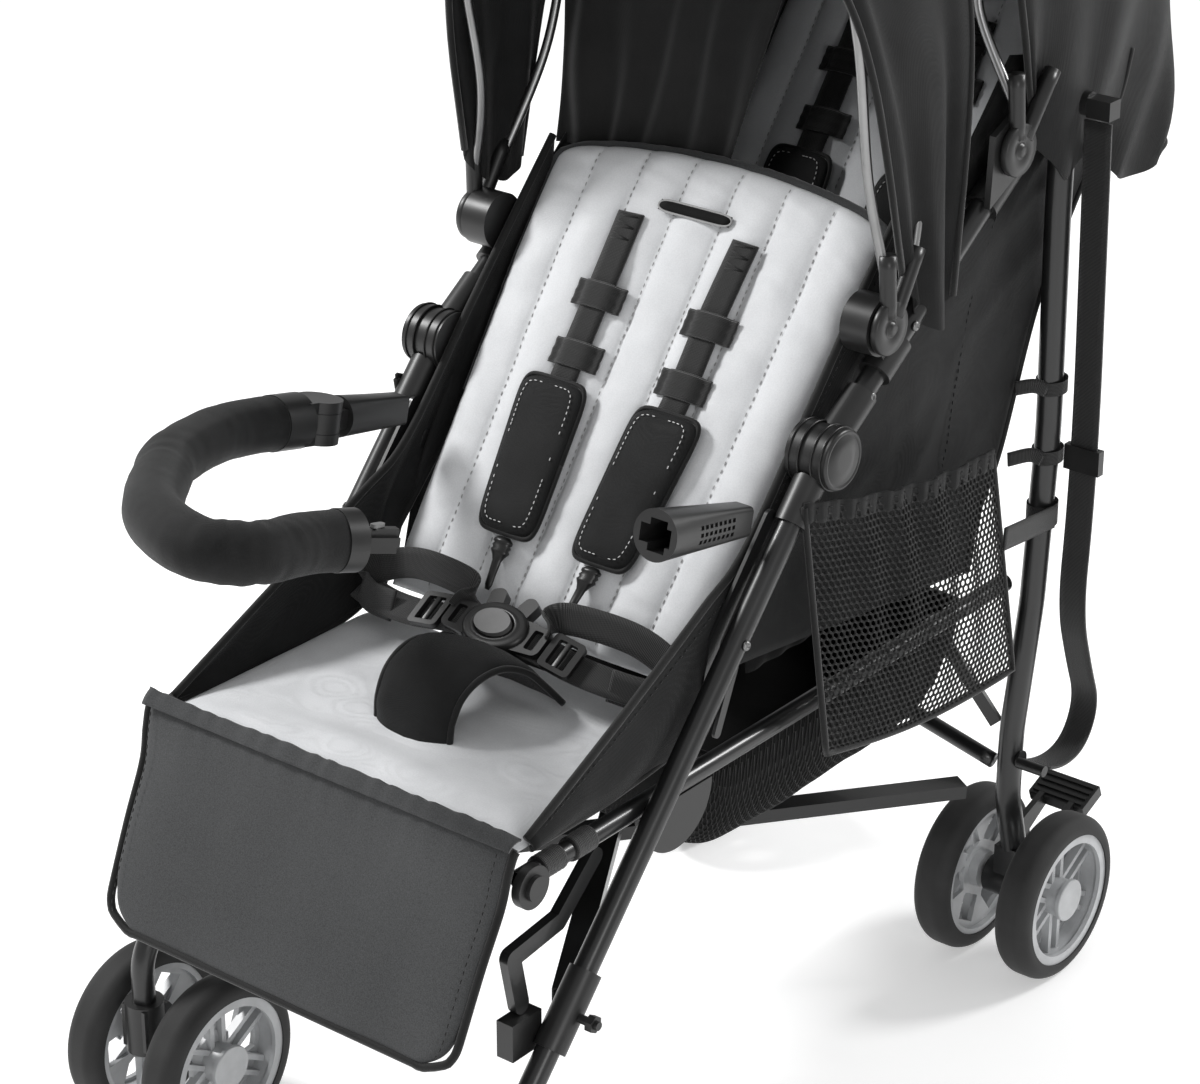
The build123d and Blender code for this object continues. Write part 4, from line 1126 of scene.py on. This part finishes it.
for label, side in SIDES.items():
    corners = [at(0, 5, 560), at(0, 266, 517), at(0, 315, 302), at(0, 44, 335)]
    rows = []
    for j in range(41):
        t = j / 40
        row = []
        for i in range(61):
            s = i / 60
            p = corners[0].lerp(corners[1], s).lerp(corners[3].lerp(corners[2], s), t)
            sway = math.sin(math.pi * s) * t
            p.z -= 9 * sway * MM
            out = 205 + 13 * (math.sin(math.pi * s) ** 0.7) * (math.sin(math.pi * (0.12 + 0.88 * t)) ** 0.6)
            gathers = 2.6 * math.sin(s * 34 + 2 * noise.noise(Vector((s * 4, t * 2, side))))
            out += gathers * (1 - t) ** 0.8 * math.sin(math.pi * s)
            p.x = side * out * MM
            p.z += (-7 * math.sin(math.pi * s) * (1 - t)) * MM
            row.append(p)
        rows.append(row)
    net(f"pocket_net_{label}", rows, 0.0068, 0.0023, NET, f"side_{label}", "mesh_black",
        replaces=(f"side_pocket_{label}",))
    band = [[p + Vector((side * 0.0012 * math.sin(i * 1.7), 0, (4 - 4 * j) * MM + 0.0008 * math.sin(i * 1.7 + j)))
             for i, p in enumerate(rows[0])] for j in range(5)]
    grid_piece(f"pocket_band_{label}", band, BLACK, f"side_{label}", "fabric_black", thick=0.0026)
    border = [rows[n][0] for n in range(0, 41, 2)] + [rows[40][n] for n in range(3, 60, 3)]
    border += [rows[n][60] for n in range(40, -1, -2)]
    piping(f"pocket_hem_{label}", border, 0.0028, f"side_{label}")
    strap_line = [at(side * 208, 286, 434), at(side * 208, 320, 431), at(side * 206, 352, 427),
                  at(side * 205.5, 369, 425)]
    ribbon(f"pocket_strap_{label}", strap_line, (0, 0.1, 1), 0.02, 0.002, WEBBING, f"side_{label}", "webbing_black",
           count=24)
    for n, (y, z, tall) in enumerate(((370, 425, 20), (374, 540, 12), (373.5, 478, 12))):
        wrap = [[at(side * 192 + 12.6 * math.cos(a), y + 15.6 * math.sin(a), z + dz * tall / 2) for a in around(32)]
                for dz in (-1, -0.8, 0, 0.8, 1)]
        grid_piece(f"leg_webbing_{label}_{n}", wrap, WEBBING, f"side_{label}", "webbing_black", closed=True)
        if n:
            reach = [at(side * 178, 346 - 6 * n, z + 3), at(side * 188, 352, z + 4), at(side * 196, y - 14, z)]
            ribbon(f"leg_tie_{label}_{n}", reach, (0, 0.1, 1), 0.012, 0.002, WEBBING, f"side_{label}",
                   "webbing_black", count=16)

rows = []
for j in range(57):
    v = -1 + 2 * j / 56
    v = 0.72 * v + 0.28 * math.sin(v * math.pi / 2)
    row = []
    for i in range(57):
        u = -1 + 2 * i / 56
        u = 0.72 * u + 0.28 * math.sin(u * math.pi / 2)
        depth = 112 * shoulder(u, 9, 0.6) * shoulder(v, 12, 0.6)
        depth += 3 * noise.noise(Vector((u * 3, v * 4, 1)))
        row.append(at(u * 151, 140 + v * 176, 343 - depth + 4 * abs(v)))
    rows.append(row)
basket_sheet = grid_piece("basket_cloth", rows, BLACK_SOFT, "centre", "mesh_black", thick=0.0014,
                          replaces=("basket",))
folds(basket_sheet)
declare_sheet(rows)
lifted = [[p + Vector((math.copysign(0.0012, p.x), 0, -0.0012)) for p in row] for row in rows]
folds(net("basket_net", lifted, 0.0075, 0.0012, NET, "centre", "mesh_black"))
rim_line = rows[0] + [row[-1] for row in rows[1:]] + rows[-1][::-1][1:] + [row[0] for row in rows[::-1][1:]]
folds(piping("basket_rim", rim_line, 0.004, "centre"))

# ---- lock bar, with its catch at the middle -------------------------------------------------
LOCK_BAR = [(-177, 196), (-95, 215), (-14, 233), (14, 233), (95, 215), (177, 196)]
bar = tube("lock_bar_cover", [at(x, 338, z) for x, z in LOCK_BAR], 0.007, FRAME_PAINT, "centre", "frame_black",
           sides=20, count=40, replaces=("lock_bar",))
folds(bar, 0.5)
folds(oriented_box("lock_bar_catch", at(0, 336, 235), (27, 17, 23), Matrix.Identity(3), PLASTIC, "centre",
                   "plastic_black", bevel=0.004))

# ---- webbing around the rails, sleeve on the bumper bar -------------------------------------
for label, side in SIDES.items():
    for n, y in enumerate((-262, -226)):
        rings = []
        for depth in range(-12, 13, 2):
            rib = 9.6 + 0.35 * (depth // 2 % 2)
            rings.append([at(side * 174 + rib * math.cos(a), y + depth, 363 + rib * math.sin(a)) for a in around(24)])
        fill_ends(grid_piece(f"rail_webbing_{label}_{n}", rings, WEBBING, f"side_{label}", "webbing_black",
                             closed=True))

SOCKET_PITCH = math.radians(13.0)


def bar_point(u, v):
    return at(-172 + u, -125 - v * math.cos(SOCKET_PITCH), 576 + v * math.sin(SOCKET_PITCH))


BAR = [(-3, 50), (-3, 67), (2, 104), (16, 146), (50, 214), (82, 254), (113, 292), (150, 330), (182, 350), (214, 361),
       (236, 356), (249, 334), (249.5, 306), (247.5, 280), (251, 256.5)]


def ruck(t, a):
    """Cloth rucks up inside the bends."""
    bend = math.exp(-((t - 0.78) / 0.12) ** 2) + 0.6 * math.exp(-((t - 0.3) / 0.16) ** 2)
    ruffle = noise.noise(Vector((t * 44, math.cos(a) * 1.1, math.sin(a) * 1.1)))
    return 1 + 0.07 * bend * min(0.3, ruffle) + 0.02 * noise.noise(Vector((t * 14, math.cos(a), math.sin(a) + 4)))


tube("bumper_cloth", [bar_point(u, v) for u, v in BAR], 0.0218, BLACK, "bumper", "fabric_black", sides=40, count=260,
     wrinkle=ruck, replaces=("bumper_sleeve",))

# ---- carry strap: a free flat cord -----------------------------------------------------------
STRAP_ROUTE = [(381, 770), (386, 640), (391, 520), (390, 420), (384, 335), (404, 276), (421, 235), (404, 200),
               (368, 194), (345, 203)]
STRAP_X, STRAP_LENGTH, STRAP_WIDTH = 217, 0.636, 0.025
curve = bpy.data.curves.new("carry_route", "CURVE")
curve.dimensions = "3D"
curve.resolution_u = 24
spline = curve.splines.new("NURBS")
spline.points.add(len(STRAP_ROUTE) - 1)
for point, (y, z) in zip(spline.points, STRAP_ROUTE):
    point.co = (*at(STRAP_X, y, z), 1)
spline.order_u = 3
spline.use_endpoint_u = True
route = bpy.data.objects.new("carry_route", curve)
route_line = [v.co.copy() for v in bpy.data.meshes.new_from_object(route).vertices]
bpy.data.objects.remove(route)
strap = ribbon("carry_strap_webbing", route_line, (1, 0, 0), STRAP_WIDTH, 0.0024, WEBBING, "side_left",
               "webbing_black", replaces=("carry_strap",))
at(STRAP_X, *STRAP_ROUTE[0])


# ---- screws and knuckle rings ------------------------------------------------------------------
SCREW_R, SCREW_PROUD = 4.2, 2.6
SCREW_HEAD = [(SCREW_R, 0), (SCREW_R, 0.35), (SCREW_R * 0.8, 0.8), (SCREW_R * 0.45, 1.0), (SCREW_R * 0.42, 0.55),
              (0.2, 0.5)]
KNUCKLE, KNUCKLE_FACE, KNUCKLE_R = (44, 588), 211, 24.9
KNUCKLE_CAP = [(24.4, -0.6), (24.2, 0.9), (22.6, 2.2), (21.4, 2.3), (20.6, 1.5), (19.6, 1.5), (18.8, 2.5), (8, 2.9),
               (0.3, 3.0)]
for label, side in SIDES.items():
    body = f"side_{label}"
    profile = [(radius, KNUCKLE_FACE + depth) for radius, depth in KNUCKLE_CAP]
    turned(f"knuckle_cap_{label}", side, profile, KNUCKLE, 64, PLASTIC, body, "plastic_black")
    for n, groove in enumerate((178.2, 187.0, 199.2, 207.6)):
        ring = [at(side * groove, KNUCKLE[0] + KNUCKLE_R * math.cos(a), KNUCKLE[1] + KNUCKLE_R * math.sin(a))
                for a in around(64, True)]
        tube(f"knuckle_band_{label}_{n}", ring, 0.0009, PLASTIC_DARK, body, "plastic_black", sides=6)
    for n, (y, z) in enumerate(((-62, 470), (8, 548), (92, 622), (132, 650), (150, 662))):
        face = 203.5 if n in (1, 2) else 202.4
        profile = [(radius, face + proud * SCREW_PROUD) for radius, proud in SCREW_HEAD]
        turned(f"frame_screw_{label}_{n}", side, profile, (y, z), 20, STEEL, body, "bow_aluminium")
